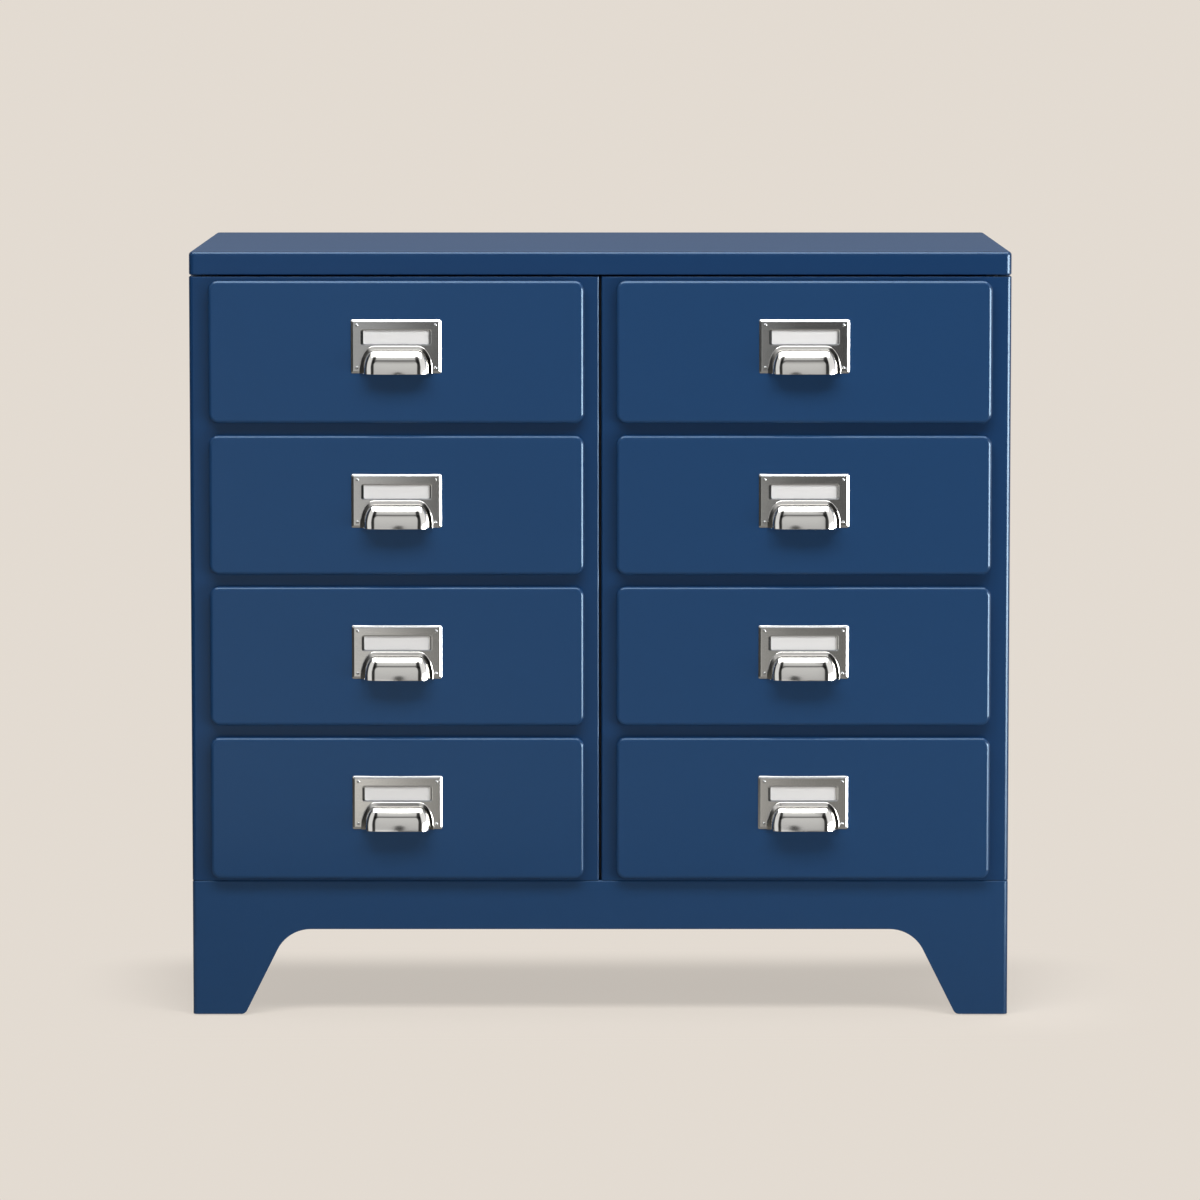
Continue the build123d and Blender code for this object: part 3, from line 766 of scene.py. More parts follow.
# ---- legged base -------------------------------------------------------------------------------------------
@dataclass
class LeggedBase:
    """The base: a sheet skirt with an arch in each side, a flange on top and plates under the legs."""

    sheet: float = SHEET
    corner: float = 4.0
    foot: float = 46.0
    foot_round: float = 6.0
    foot_plate: float = 40.0
    lean: Pair = (14.5, 29.0)
    arch_round: float = 33.0
    apron: float = 43.6
    flange: float = 25.0
    fold: float = 1.8
    cut_edge: float = 0.35
    joint_gap: float = 0.12
    steps: int = 10

    def __post_init__(self) -> None:
        """Reads the base's place, and that of its joints, from the nodes."""
        self.low, front_high = box_mm("base_front")
        back_low, self.high = box_mm("base_back")
        self.front_end, self.back_start = front_high.y, back_low.y
        self.wall_top = self.high.z - self.fold

    def leg_edge(self) -> list[Pair]:
        """Draws the edge of a leg from the floor up to the apron.

        Returns:
            Its points, as distance from the corner and height.
        """
        top = self.high.z - self.apron
        slope = math.atan2(self.lean[1], self.lean[0])
        turn = math.degrees(slope)
        foot, arch = self.foot_round, self.arch_round
        foot_centre = (self.foot - foot / math.tan((math.pi - slope) / 2), self.low.z + foot)
        meet = self.foot + (top - self.low.z) / math.tan(slope)
        arch_centre = (meet + arch * math.tan(slope / 2), top - arch)
        return (arc(foot_centre, (foot, foot), -90, -90 + turn, self.steps)
                + arc(arch_centre, (arch, arch), 90 + turn, 90, self.steps))

    def wall(self, skin: Skin, put: Placing, length: float, both: bool) -> None:
        """Adds one flat side.

        Args:
            skin: the mesh.
            put: turns a distance along the side, a depth behind its face and a height into a point.
            length: how far the side runs.
            both: True if a leg stands at both ends, False if only at the start.
        """
        edge = [(self.corner, self.low.z), (self.foot_plate, self.low.z)] + self.leg_edge()
        far_edge, far_end = [(length, self.high.z - self.apron)], length
        if both:
            far_edge, far_end = [(length - u, z) for u, z in reversed(edge)], length - self.corner
        on_plate = edge[:2] + (far_edge[-2:] if both else [])
        outline = edge + far_edge + [(far_end, self.wall_top), (self.corner, self.wall_top)]
        skin.face(skin.ring([put(u, 0, z) for u, z in outline],
                            [put(u, self.sheet, z + self.sheet * ((u, z) in on_plate)) for u, z in outline]))

    def plan(self, inset: float, y_out: float, inward: int, reach: float) -> list[Pair]:
        """Line of an end part from above, from one joint round both corners to the other.

        Args:
            inset: distance in from the outer side.
            y_out: the part's outer face.
            inward: direction along Y from that face to the cabinet's middle.
            reach: distance along Y from that face to the joints.

        Returns:
            The line's points, as many for each inset.
        """
        radius = max(self.corner - inset, TINY)
        line = []
        for x, sign in ((self.low.x + inset, 1), (self.high.x - inset, -1)):
            centre = (x + sign * radius, y_out + inward * (inset + radius))
            turn = bend(centre, (-sign, 0), (0, -inward), radius, self.steps)
            half = [(x, y_out + inward * reach), *turn]
            line += half if sign > 0 else half[::-1]
        return line

    def top_section(self) -> list[tuple[Pair, Pair]]:
        """Section of the fold and flange on top: inset and height, on the outer and on the other side."""
        fold = self.both_sides((self.fold, self.wall_top), (-1, 0), (0, 1), self.fold)
        return [*zip(*fold), ((self.flange, self.high.z), (self.flange, self.high.z - self.sheet))]

    def both_sides(self, centre: Pair, start: Pair, end: Pair, radius: float) -> list[list[Pair]]:
        """A bend's line on the sheet's outer side and its line on the other side."""
        return [bend(centre, start, end, turn, self.steps) for turn in (radius, radius - self.sheet)]

    def end_part(self, name: str, y_out: float, y_in: float) -> bpy.types.Object:
        """Makes the front or back part, which wraps round both corners.

        Args:
            name: the piece's name.
            y_out: the outer face.
            y_in: the joints with the side aprons.

        Returns:
            The finished piece.
        """
        skin = Skin()
        inward = 1 if y_in > y_out else -1
        reach = abs(y_in - y_out) - self.joint_gap
        width = self.high.x - self.low.x
        self.wall(skin, lambda u, deep, z: (self.low.x + u, y_out + inward * deep, z), width, True)
        for x, sign in ((self.low.x, 1), (self.high.x, -1)):
            def put(u: float, deep: float, z: float, x: float = x, sign: int = sign) -> Triple:
                """Place on the side that runs inwards from this corner."""
                return x + sign * deep, y_out + inward * u, z
            self.wall(skin, put, reach, False)
            self.leg_corner(skin, x, y_out, sign, inward)
        skin.loft([skin.ring([(x, y, z) for x, y in self.plan(inset, y_out, inward, reach)],
                             [(x, y, z_in) for x, y in self.plan(inset_in, y_out, inward, reach)])
                   for (inset, z), (inset_in, z_in) in self.top_section()], closed=False)
        skin.close_sheet()
        return softened(skin.finish(name, FRONT_ENAMEL), self.cut_edge)

    def leg_corner(self, skin: Skin, x: float, y: float, in_x: int, in_y: int) -> None:
        """Adds a leg's bent corner and the plate under the leg.

        Args:
            skin: the mesh.
            x, y: where the two outer faces would meet.
            in_x, in_y: directions from there to the cabinet's middle, 1 or -1.
        """
        inner_floor = self.low.z + self.sheet
        centre = (x + in_x * self.corner, y + in_y * self.corner)
        outer, other = self.both_sides(centre, (-in_x, 0), (0, -in_y), self.corner)
        foot = skin.ring([(*point, self.low.z) for point in outer],
                         [(*point, inner_floor) for point in other])
        head = skin.ring(*([(*point, self.wall_top) for point in line] for line in (outer, other)))
        skin.bridge(foot, head, closed=False)
        far_x, far_y = x + in_x * self.foot_plate, y + in_y * self.foot_plate
        plate = [(far_x, y), (far_x, far_y), (x, far_y)]
        plate_in = [(far_x, y + in_y * self.sheet), (far_x, far_y), (x + in_x * self.sheet, far_y)]
        skin.face(foot + skin.ring([(*point, self.low.z) for point in plate],
                                   [(*point, inner_floor) for point in plate_in]))

    def side_aprons(self) -> bpy.types.Object:
        """Makes the two short aprons between the front and back parts.

        Returns:
            Both aprons as one piece.
        """
        skin = Skin()
        span = (self.front_end + self.joint_gap, self.back_start - self.joint_gap)
        bottom = self.high.z - self.apron
        section = [((0, bottom), (self.sheet, bottom)), *self.top_section()]
        for x, sign in ((self.low.x, 1), (self.high.x, -1)):
            skin.loft([skin.ring([(x + sign * inset, y, z) for y in span],
                                 [(x + sign * inset_in, y, z_in) for y in span])
                       for (inset, z), (inset_in, z_in) in section], closed=False)
        skin.close_sheet()
        return softened(skin.finish("base_side_aprons_skin", FRONT_ENAMEL), self.cut_edge)

    def build(self) -> None:
        """Makes and places the whole base."""
        front = self.end_part("base_front_skin", self.low.y, self.front_end)
        back = self.end_part("base_back_skin", self.high.y, self.back_start)
        place_in(front, "cabinet", FRONT_ENAMEL.slot, "base_front")
        place_in(back, "cabinet", FRONT_ENAMEL.slot, "base_back")
        place_in(self.side_aprons(), "cabinet", FRONT_ENAMEL.slot, "base_side_aprons")


# ---- cup pulls ---------------------------------------------------------------------------------------------
@dataclass
class CupPull:
    """Stamped label-holder pull: a bevelled plate with a window, a bead and a hollow dome for the fingers.

    Its frame is the plate's middle, with the drawer front at depth 0. Pairs of sizes go across and up, or
    across the sheet and out of it. crown_fade holds the depth where the plate's crown starts and how much
    further out it is whole. face_crown holds the radii of the dome's face, across and upwards.
    """

    plate: Pair = (79.0, 47.0)
    plate_depth: float = 2.0
    plate_corner: float = 1.4
    plate_bevel: Pair = (1.9, 1.1)
    plate_ease: float = 0.35
    plate_crown: float = 0.45
    crown_fade: Pair = (0.4, 0.5)
    pocket_depth: float = 0.75
    pocket_wall: float = 1.1
    window: Pair = (57.0, 12.0)
    window_drop: float = 15.4
    window_lip: Pair = (2.6, 1.2)
    window_dish: float = 0.35
    window_corner: float = 1.2
    cup_half: float = 32.0
    cup_height: float = 24.2
    shoulder: Pair = (13.0, 21.2)
    bead: Pair = (4.2, 1.6)
    bead_edge: Pair = (0.7, 1.0)
    dome_inset: float = 4.3
    dome_reach: float = 15.0
    dome_wall: float = 9.0
    face_half: float = 18.0
    face_height: float = 11.5
    face_corner: float = 3.0
    face_lean: float = 0.14
    face_crown: Pair = (300.0, 80.0)
    wall: float = 1.2
    seat: float = 0.8
    lip_round: float = 0.4
    least_round: float = 0.4
    upright_steps: int = 4
    ease_steps: int = 5
    steps: int = 12

    def point(self, x: float, z: float, depth: float) -> Triple:
        """Point at a place on the plate, seen from the front, and a depth out of the drawer front."""
        return x, -depth, z

    def arch(self, half: float, height: float, across: float, rise: float) -> list[Pair]:
        """Outline of an arch on the plate's lower edge.

        Args:
            half: half its width.
            height: its height.
            across, rise: the half axes of its rounded shoulders.

        Returns:
            Points from its left foot over the top to its right foot.
        """
        base, upright_steps = -self.plate[1] / 2, self.upright_steps
        upright = [(-half, base + (height - rise) * step / upright_steps) for step in range(upright_steps)]
        left = upright + arc((-half + across, base + height - rise), (across, rise), 180, 90, self.steps)
        flat = half - across
        middle = [(flat * (2 * step / self.steps - 1), base + height) for step in range(1, self.steps)]
        return left + middle + [(-x, z) for x, z in reversed(left)]

    def inset_arch(self, inset: float) -> list[Pair]:
        """The cup's outline on the plate, moved in evenly."""
        return self.arch(self.cup_half - inset, self.cup_height - inset, self.shoulder[0] - inset,
                         self.shoulder[1] - inset)

    def flank(self) -> list[Pair]:
        """Flank of the dome, upright and then rounded: distance in from its foot and out from the plate."""
        run, rise = self.cup_half - self.dome_inset - self.face_half, self.dome_reach - self.dome_wall
        return [(0, 0)] + [(run - across, self.dome_wall + out)
                           for across, out in arc((0, 0), (run, rise), 0, 90, 2 * self.steps)]

    def dome_point(self, x: float, z: float, out: float) -> Triple:
        """Point of the dome: its face leans up and is crowned, and its flanks follow in proportion.

        Args:
            x, z: place on the plate, seen from the front.
            out: distance out of the plate before the face leans.

        Returns:
            The point in millimetres.
        """
        share = max(out, 0) / self.dome_reach
        above = z + self.plate[1] / 2
        across, upwards = self.face_crown
        fall = self.face_lean * above + x * x / (2 * across) + above * above / (2 * upwards)
        return self.point(x, z, self.plate_depth + out - share * fall)

    def dome_section(self, inward: float, wall: float) -> list[Pair]:
        """Arch of the dome at one level of its flank.

        Args:
            inward: distance in from the dome's foot.
            wall: how far the arch is moved in evenly, for the inner side of the sheet.

        Returns:
            The arch's points.
        """
        share = inward / (self.cup_half - self.dome_inset - self.face_half)

        def mix(outline: float, face: float) -> float:
            """A size at this place, between those of the dome's foot and of its face."""
            start = outline - self.dome_inset
            return start + (face - start) * share - wall

        return self.arch(mix(self.cup_half, self.face_half), mix(self.cup_height, self.face_height),
                         *(max(mix(size, self.face_corner), self.least_round) for size in self.shoulder))

    def face_section(self, share: float, wall: float) -> list[Pair]:
        """Arch on the dome's face, shrunk towards the middle of its lower edge.

        Args:
            share: the arch's size as a share of the face.
            wall: how far the arch is moved in evenly, for the inner side of the sheet.

        Returns:
            The arch's points.
        """
        corner, base = max(self.face_corner - wall, self.least_round), self.plate[1] / 2
        return [(x * share, (z + base) * share - base) for x, z in
                self.arch(self.face_half - wall, self.face_height - wall, corner, corner)]

    def dome(self) -> bpy.types.Object:
        """Makes the hollow dome, open below.

        Returns:
            The dome.
        """
        skin = Skin()
        outer, inner = (self.dome_face(skin, wall) for wall in (0.0, self.wall))
        skin.bridge(outer[0], inner[0], closed=False)
        for end in (0, -1):
            for step in range(len(outer) - 1):
                skin.face((outer[step][end], outer[step + 1][end], inner[step + 1][end], inner[step][end]))
        return softened(skin.finish("dome", POLISHED_NICKEL, FINE_WELD), self.lip_round, limit=60)

    def dome_face(self, skin: Skin, wall: float) -> list[Row]:
        """Adds one side of the dome's sheet, from its seat in the plate to the middle of its face.

        Args:
            skin: the mesh.
            wall: 0 for the outer side, or the sheet's thickness for the inner side.

        Returns:
            The rows of this side.
        """
        rings = [skin.ring([self.dome_point(x, z, -self.seat) for x, z in self.dome_section(0, wall)])]
        for inward, out in self.flank():
            rings.append(skin.ring([self.dome_point(x, z, max(out - wall, 0))
                                    for x, z in self.dome_section(inward, wall)]))
        for step in range(self.steps - 1, -1, -1):
            rings.append(skin.ring([self.dome_point(x, z, self.dome_reach - wall)
                                    for x, z in self.face_section(step / self.steps, wall)]))
        skin.loft(rings, closed=False)
        return rings

    def bead_ring(self) -> bpy.types.Object:
        """Makes the low rounded bead that frames the dome.

        Returns:
            The bead.
        """
        skin = Skin()
        (width, height), (edge, low) = self.bead, self.bead_edge
        rise = arc((edge, 0), (edge, low), 180, 100, self.steps)
        fall = arc((width - edge, 0), (edge, height), 80, 0, self.steps)
        section = [(0.0, -self.seat), *rise, *fall, (width, -self.seat)]
        rings = [skin.ring([self.point(x, z, self.plate_depth + out) for x, z in self.inset_arch(inset)])
                 for inset, out in section]
        skin.loft(rings + rings[:1], closed=False)
        for end in (0, -1):
            skin.face([ring[end] for ring in rings])
        return softened(skin.finish("bead", POLISHED_NICKEL, FINE_WELD))

    def bevel(self) -> list[Pair]:
        """Draws the bevel round the plate, with eased ends.

        Returns:
            Inset and depth pairs, from the outside in.
        """
        (width, drop), ease = self.plate_bevel, self.plate_ease
        points = [Vector((0, self.plate_depth - drop - ease)), Vector((0, self.plate_depth - drop)),
                  Vector((width, self.plate_depth)), Vector((width + 2 * ease, self.plate_depth))]
        line = [tuple(points[0])]
        for before, corner, after in zip(points, points[1:], points[2:]):
            start = corner + (before - corner).normalized() * ease
            end = corner + (after - corner).normalized() * ease
            for share in (step / self.ease_steps for step in range(self.ease_steps + 1)):
                line.append(tuple(start.lerp(corner, share).lerp(corner.lerp(end, share), share)))
        return line

    def plate_rings(self) -> list[tuple[Pair, Pair, float, float]]:
        """Lists the rings of the plate, once round its section.

        Returns:
            Half sizes, centre, corner radius and depth of each.
        """
        half = (self.plate[0] / 2, self.plate[1] / 2)
        hole = (self.window[0] / 2, self.window[1] / 2)
        pocket = (half[0] - self.pocket_wall, half[1] - self.pocket_wall)
        middle, window_middle = (0.0, 0.0), (0.0, half[1] - self.window_drop)
        rings = [(hole, window_middle, self.window_corner, self.pocket_depth),
                 (pocket, middle, TINY, self.pocket_depth),
                 (pocket, middle, TINY, 0.0),
                 (half, middle, self.plate_corner, 0.0)]
        for inset, depth in self.bevel():
            rings.append(((half[0] - inset, half[1] - inset), middle, self.plate_corner - inset / 2, depth))
        lip_x, lip_z = self.window_lip
        dish_floor = self.plate_depth - self.window_dish
        for share in (step / self.steps for step in range(self.steps, -1, -1)):
            rise = self.window_dish * (0.5 - 0.5 * math.cos(math.pi * share))
            rings.append(((hole[0] + share * lip_x, hole[1] + share * lip_z), window_middle,
                          self.window_corner + share * lip_z, dish_floor + rise))
        return rings

    def flat_plate(self) -> bpy.types.Object:
        """Makes the plate with its dished window, and cuts the finger opening.

        Returns:
            The plate.
        """
        skin = Skin()
        rings = []
        for (half_u, half_v), (mid_u, mid_v), corner, depth in self.plate_rings():
            outline = rounded_rectangle(half_u, half_v, corner, self.steps // 2)
            rings.append(skin.ring([self.point(mid_u + u, mid_v + v, depth) for u, v in outline]))
        skin.loft(rings + rings[:1])
        plate = skin.finish("plate", SATIN_NICKEL, FINE_WELD)
        cutter = self.finger_cutter()
        cut = plate.modifiers.new("finger_cut", "BOOLEAN")
        cut.object, cut.operation, cut.solver = cutter, "DIFFERENCE", "EXACT"
        baked(plate)
        bpy.data.objects.remove(cutter)
        self.crown(plate)
        shade(plate.data)
        return softened(plate)

    def finger_cutter(self) -> bpy.types.Object:
        """Makes the form that cuts the finger opening through the plate and its lower edge.

        Returns:
            The form, which is removed after the cut.
        """
        (left_x, left_z), *over, (right_x, right_z) = self.dome_section(0, self.wall)
        outline = [(left_x, left_z - self.plate[1]), *over, (right_x, right_z - self.plate[1])]
        skin = Skin()
        skin.prism(outline, self.point, (-self.plate_depth, 2 * self.plate_depth))
        return skin.finish("finger_cut", SATIN_NICKEL)

    def crown(self, plate: bpy.types.Object) -> None:
        """Slices the plate into upright strips and bends it, so that its middle stands proud of its sides.

        Args:
            plate: the plate as a plain mesh, which is changed.
        """
        sheet = bmesh.new()
        sheet.from_mesh(plate.data)
        count = 2 * self.steps
        for cut in range(1, count):
            x = (cut / count - 0.5) * self.plate[0] * MM
            bmesh.ops.bisect_plane(sheet, geom=[*sheet.verts, *sheet.edges, *sheet.faces],
                                   dist=FINE_WELD * MM, plane_co=(x, 0, 0), plane_no=(1, 0, 0))
        start, span = self.crown_fade
        for vertex in sheet.verts:
            share = min(max((-vertex.co.y / MM - start) / span, 0), 1)
            vertex.co.y += self.plate_crown * share * (2 * vertex.co.x / MM / self.plate[0]) ** 2 * MM
        sheet.to_mesh(plate.data)
        sheet.free()

    def stamping(self) -> bpy.types.Object:
        """Makes the whole pull about the plate's middle, as one mesh in two finishes.

        Returns:
            The pull.
        """
        parts = [self.flat_plate(), self.bead_ring(), self.dome()]
        bpy.ops.object.select_all(action="DESELECT")
        for part in parts:
            part.select_set(True)
        bpy.context.view_layer.objects.active = parts[0]
        bpy.ops.object.join()
        return parts[0]


# ---- small fasteners, laid out by geometry nodes -----------------------------------------------------------
class Head(Enum):
    """Shape of a fastener's head."""

    RIVET = "rivet"
    CROSS_SCREW = "cross_screw"


@dataclass
class StudGrid:
    """Equal fastener heads in a grid on an upright face.

    cross holds the length, width and depth of a driver's cross, and recess how deep it goes, as shares of the
    head's radius and height.
    """

    head: Head
    radius: float
    height: float
    finish: Finish
    columns: int = 2
    rows: int = 2
    segments: int = 20
    rings: int = 12
    cross: Triple = (1.1, 0.22, 0.9)
    recess: float = 0.36

    def tree(self) -> bpy.types.NodeTree:
        """Builds the geometry node tree for this kind of head once.

        Returns:
            The tree.
        """
        name = f"{self.head.value}_grid"
        if name in bpy.data.node_groups:
            return bpy.data.node_groups[name]
        tree = bpy.data.node_groups.new(name, "GeometryNodeTree")
        for label, kind, value in (("Width", "NodeSocketFloat", 0.1), ("Height", "NodeSocketFloat", 0.1),
                                   ("Columns", "NodeSocketInt", 2), ("Rows", "NodeSocketInt", 2),
                                   ("Head Radius", "NodeSocketFloat", 0.001),
                                   ("Head Height", "NodeSocketFloat", 0.001),
                                   ("Centre", "NodeSocketVector", (0, 0, 0)), ("Seed", "NodeSocketInt", 7)):
            tree.interface.new_socket(label, in_out="INPUT", socket_type=kind).default_value = value
        tree.interface.new_socket("Finish", in_out="INPUT", socket_type="NodeSocketMaterial")
        tree.interface.new_socket("Geometry", in_out="OUTPUT", socket_type="NodeSocketGeometry")
        board = Board(tree)
        enter = board.add("NodeGroupInput").outputs
        grid = board.add("GeometryNodeMeshGrid", {
            "Size X": enter["Width"], "Size Y": enter["Height"], "Vertices X": enter["Columns"],
            "Vertices Y": enter["Rows"]})
        upright = board.add("GeometryNodeTransform", {"Geometry": grid.outputs["Mesh"],
                                                      "Translation": enter["Centre"],
                                                      "Rotation": (math.pi / 2, 0, 0)})
        shape = board.add("ShaderNodeCombineXYZ", {"X": enter["Head Radius"], "Y": enter["Head Height"],
                                                   "Z": enter["Head Radius"]}).outputs[0]
        turn = board.add("FunctionNodeRandomValue", {0: (0, 0, 0), 1: (0, math.tau, 0),
                                                     "Seed": enter["Seed"]},
                         data_type="FLOAT_VECTOR").outputs["Value"]
        heads = board.add("GeometryNodeInstanceOnPoints", {
            "Points": upright.outputs[0], "Instance": self.head_shape(board), "Rotation": turn,
            "Scale": shape})
        real = board.add("GeometryNodeRealizeInstances", {"Geometry": heads.outputs[0]})
        dressed = board.add("GeometryNodeSetMaterial", {"Geometry": real.outputs[0],
                                                        "Material": enter["Finish"]})
        board.add("NodeGroupOutput", {"Geometry": dressed.outputs[0]})
        return tree

    def head_shape(self, board: Board) -> Socket:
        """Adds the nodes of one head of unit size, whose back half is sunk in what it holds.

        Args:
            board: the tree.

        Returns:
            The head's geometry.
        """
        ball = board.add("GeometryNodeMeshUVSphere", {"Segments": self.segments, "Rings": self.rings,
                                                      "Radius": 1.0})
        poles_out = board.add("GeometryNodeTransform", {"Geometry": ball.outputs[0],
                                                        "Rotation": (math.pi / 2, 0, 0)})
        if self.head is Head.RIVET:
            return poles_out.outputs[0]
        length, width, depth = self.cross
        cross = board.add("GeometryNodeMeshBoolean", operation="UNION")
        for size in ((length, depth, width), (width, depth, length)):
            board.feed(cross.inputs["Mesh 2"], board.add("GeometryNodeMeshCube", {"Size": size}).outputs[0])
        shift = (0, 1.0 + depth / 2 - self.recess, 0)
        both = board.add("GeometryNodeTransform", {"Geometry": cross.outputs[0], "Translation": shift})
        cut = board.add("GeometryNodeMeshBoolean", {
            "Mesh 1": poles_out.outputs[0], "Mesh 2": both.outputs[0]}, operation="DIFFERENCE")
        return cut.outputs[0]

    def build(self, name: str, centre: Vector, span: Pair) -> bpy.types.Object:
        """Lays the heads out and returns them as a plain mesh.

        Args:
            name: the piece's name.
            centre: middle of the grid on the face that the heads stand on, in millimetres.
            span: width and height of the grid in millimetres.

        Returns:
            The piece, not yet on a body.
        """
        piece = new_object(name, bpy.data.meshes.new(name))
        layout = piece.modifiers.new("layout", "NODES")
        tree = self.tree()
        layout.node_group = tree
        keys = {item.name: item.identifier for item in tree.interface.items_tree if item.in_out == "INPUT"}
        values = {"Width": span[0] * MM, "Height": span[1] * MM, "Columns": self.columns, "Rows": self.rows,
                  "Head Radius": self.radius * MM, "Head Height": self.height * MM, "Centre": centre * MM,
                  "Finish": self.finish.material()}
        for label, value in values.items():
            layout[keys[label]] = value
        shade(baked(piece).data)
        return piece


# ---- drawers -----------------------------------------------------------------------------------------------
@dataclass
class Drawers:
    """The eight drawers: pressed fronts, cup pulls, rivets, cards and boxes.

    rivet is the radius and height of a rivet's head.
    """

    corner: float = 8.5
    edge: float = 3.5
    sheet: float = 1.0
    flange: float = 20.0
    rivet: Pair = (1.3, 0.5)
    rivet_inset: Pair = (5.2, 4.8)

    def front(self, label: str) -> bpy.types.Object:
        """Makes one drawer front in its node's place.

        Args:
            label: the drawer's name.

        Returns:
            The finished front.
        """
        low, high = box_mm(f"{label}_front")
        middle, half = (low + high) / 2, (high - low) / 2
        pan = FoldedPan(half.x, half.z, high.y - low.y, self.corner, self.edge, self.sheet, self.flange)
        return pan.build(f"{label}_front_skin", FRONT_ENAMEL,
                         lambda u, v, out: (middle.x + u, high.y - out, middle.z + v))

    def build(self) -> None:
        """Makes and places all the drawers."""
        pull = CupPull()
        stamping = pull.stamping()
        span = (pull.plate[0] - 2 * self.rivet_inset[0], pull.plate[1] - 2 * self.rivet_inset[1])
        rivets = StudGrid(Head.RIVET, *self.rivet, SATIN_NICKEL)
        for side in Side:
            for row in range(ROWS):
                label = f"{side.label}_drawer_{row + 1}"
                low, high = box_mm(f"{label}_pull")
                middle = Vector(((low.x + high.x) / 2, high.y, (low.z + high.z) / 2))
                place_in(self.front(label), label, FRONT_ENAMEL.slot, f"{label}_front")
                copy = copy_at(stamping, f"{label}_pull_stamping", middle * MM)
                place_in(copy, label, POLISHED_NICKEL.slot, f"{label}_pull")
                heads = rivets.build(f"{label}_rivets", middle - Vector((0, pull.plate_depth, 0)), span)
                place_in(heads, label, SATIN_NICKEL.slot)
                dress(f"{label}_card", CARD)
                dress(f"{label}_box", GREY_ENAMEL)
        bpy.data.objects.remove(stamping)


def dress(node: str, finish: Finish) -> None:
    """Gives a node that keeps its own shape its finish.

    Args:
        node: the node's name.
        finish: what it is covered with.
    """
    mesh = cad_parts[node].data
    mesh.materials.clear()
    mesh.materials.append(finish.material())
    log.info("%s keeps its shape, in %s", node, finish.name)


# ---- top cover ---------------------------------------------------------------------------------------------
@dataclass
class TopCover:
    """The folded lid over both cases."""

    corner: float = 5.0
    edge: float = 3.2
    sheet: float = SHEET
    flange: float = 24.0

    def build(self) -> None:
        """Makes and places the cover."""
        low, high = box_mm("top_cover")
        middle, half = (low + high) / 2, (high - low) / 2
        pan = FoldedPan(half.x, half.y, high.z - low.z, self.corner, self.edge, self.sheet, self.flange)
        piece = pan.build("top_cover_skin", CASE_ENAMEL_PAINTED_SHADE,
                          lambda u, v, out: (middle.x + u, middle.y + v, low.z + out))
        place_in(piece, "cabinet", CASE_ENAMEL_PAINTED_SHADE.slot, "top_cover")


# ---- what keeps its own shape ------------------------------------------------------------------------------
@dataclass
class InnerSheets:
    """What keeps the shape of its nodes, and with it the back's screws and the seam's black seals, whose
    black also paints the seam's shade.

    screw is the radius and height of a screw's head.
    """

    screw: Pair = (3.6, 2.0)
    screw_inset: float = 8.0
    screw_end: float = 30.0
    screw_rows: int = 4
    seal_setback: float = 6.0
    seal_depth: float = 4.0
    seal_play: float = 0.02
    seal_steps: int = 10

    def seam_shade_seals(self) -> bpy.types.Object:
        """Makes the round-nosed black rubber seals between the cases, just inside the seam's front and back
        edges: they close the view through the gap, and their black is painted shade for the dark seam line.

        Returns:
            Both seals as one piece.
        """
        (low, left_high), (right_low, high) = box_mm("left_case_shell"), box_mm("right_case_shell")
        middle, half = (left_high.x + right_low.x) / 2, (right_low.x - left_high.x) / 2 - self.seal_play
        nose = arc((0, half), (half, half), 180, 360, self.seal_steps)
        outline = nose + [(half, self.seal_depth), (-half, self.seal_depth)]
        skin = Skin()
        for edge, inward in ((low.y, 1), (high.y, -1)):
            def put(x: float, y: float, z: float, edge: float = edge, inward: int = inward) -> Triple:
                """Place in the seam, with y counted inwards from the nose."""
                return middle + x, edge + inward * (self.seal_setback + y), z
            skin.prism(outline, put, (low.z, high.z))
        return softened(skin.finish("case_seam_seals", RUBBER))

    def build(self) -> None:
        """Dresses the nodes, and adds the screws of the back panels and the seam's black seals, which paint
        the seam's shade.
        """
        screws = StudGrid(Head.CROSS_SCREW, *self.screw, ZINC, rows=self.screw_rows)
        for side in Side:
            for part in ("top_pan", "floor_pan", "back_panel"):
                dress(f"{side.label}_{part}", CASE_ENAMEL_PAINTED_SHADE)
            dress(f"{side.label}_runners", ZINC)
            low, high = box_mm(f"{side.label}_back_panel")
            centre = Vector(((low.x + high.x) / 2, high.y, (low.z + high.z) / 2))
            span = (high.x - low.x - 2 * self.screw_inset, high.z - low.z - 2 * self.screw_end)
            place_in(screws.build(f"{side.label}_back_screws", centre, span), "cabinet", ZINC.slot)
        # Black seals in the seam between the cases: they close the gap, and their black is painted shade for
        # the dark seam line.
        place_in(self.seam_shade_seals(), "cabinet", RUBBER.slot)
        for node in ("case_tie_bolts", "case_tie_nuts"):
            dress(node, ZINC)
        for node in ("cover_clinch_nuts", "cover_screws"):
            dress(node, BLACK_OXIDE)
        for node in ("foot_glides", "case_spacer_strips"):
            dress(node, RUBBER)


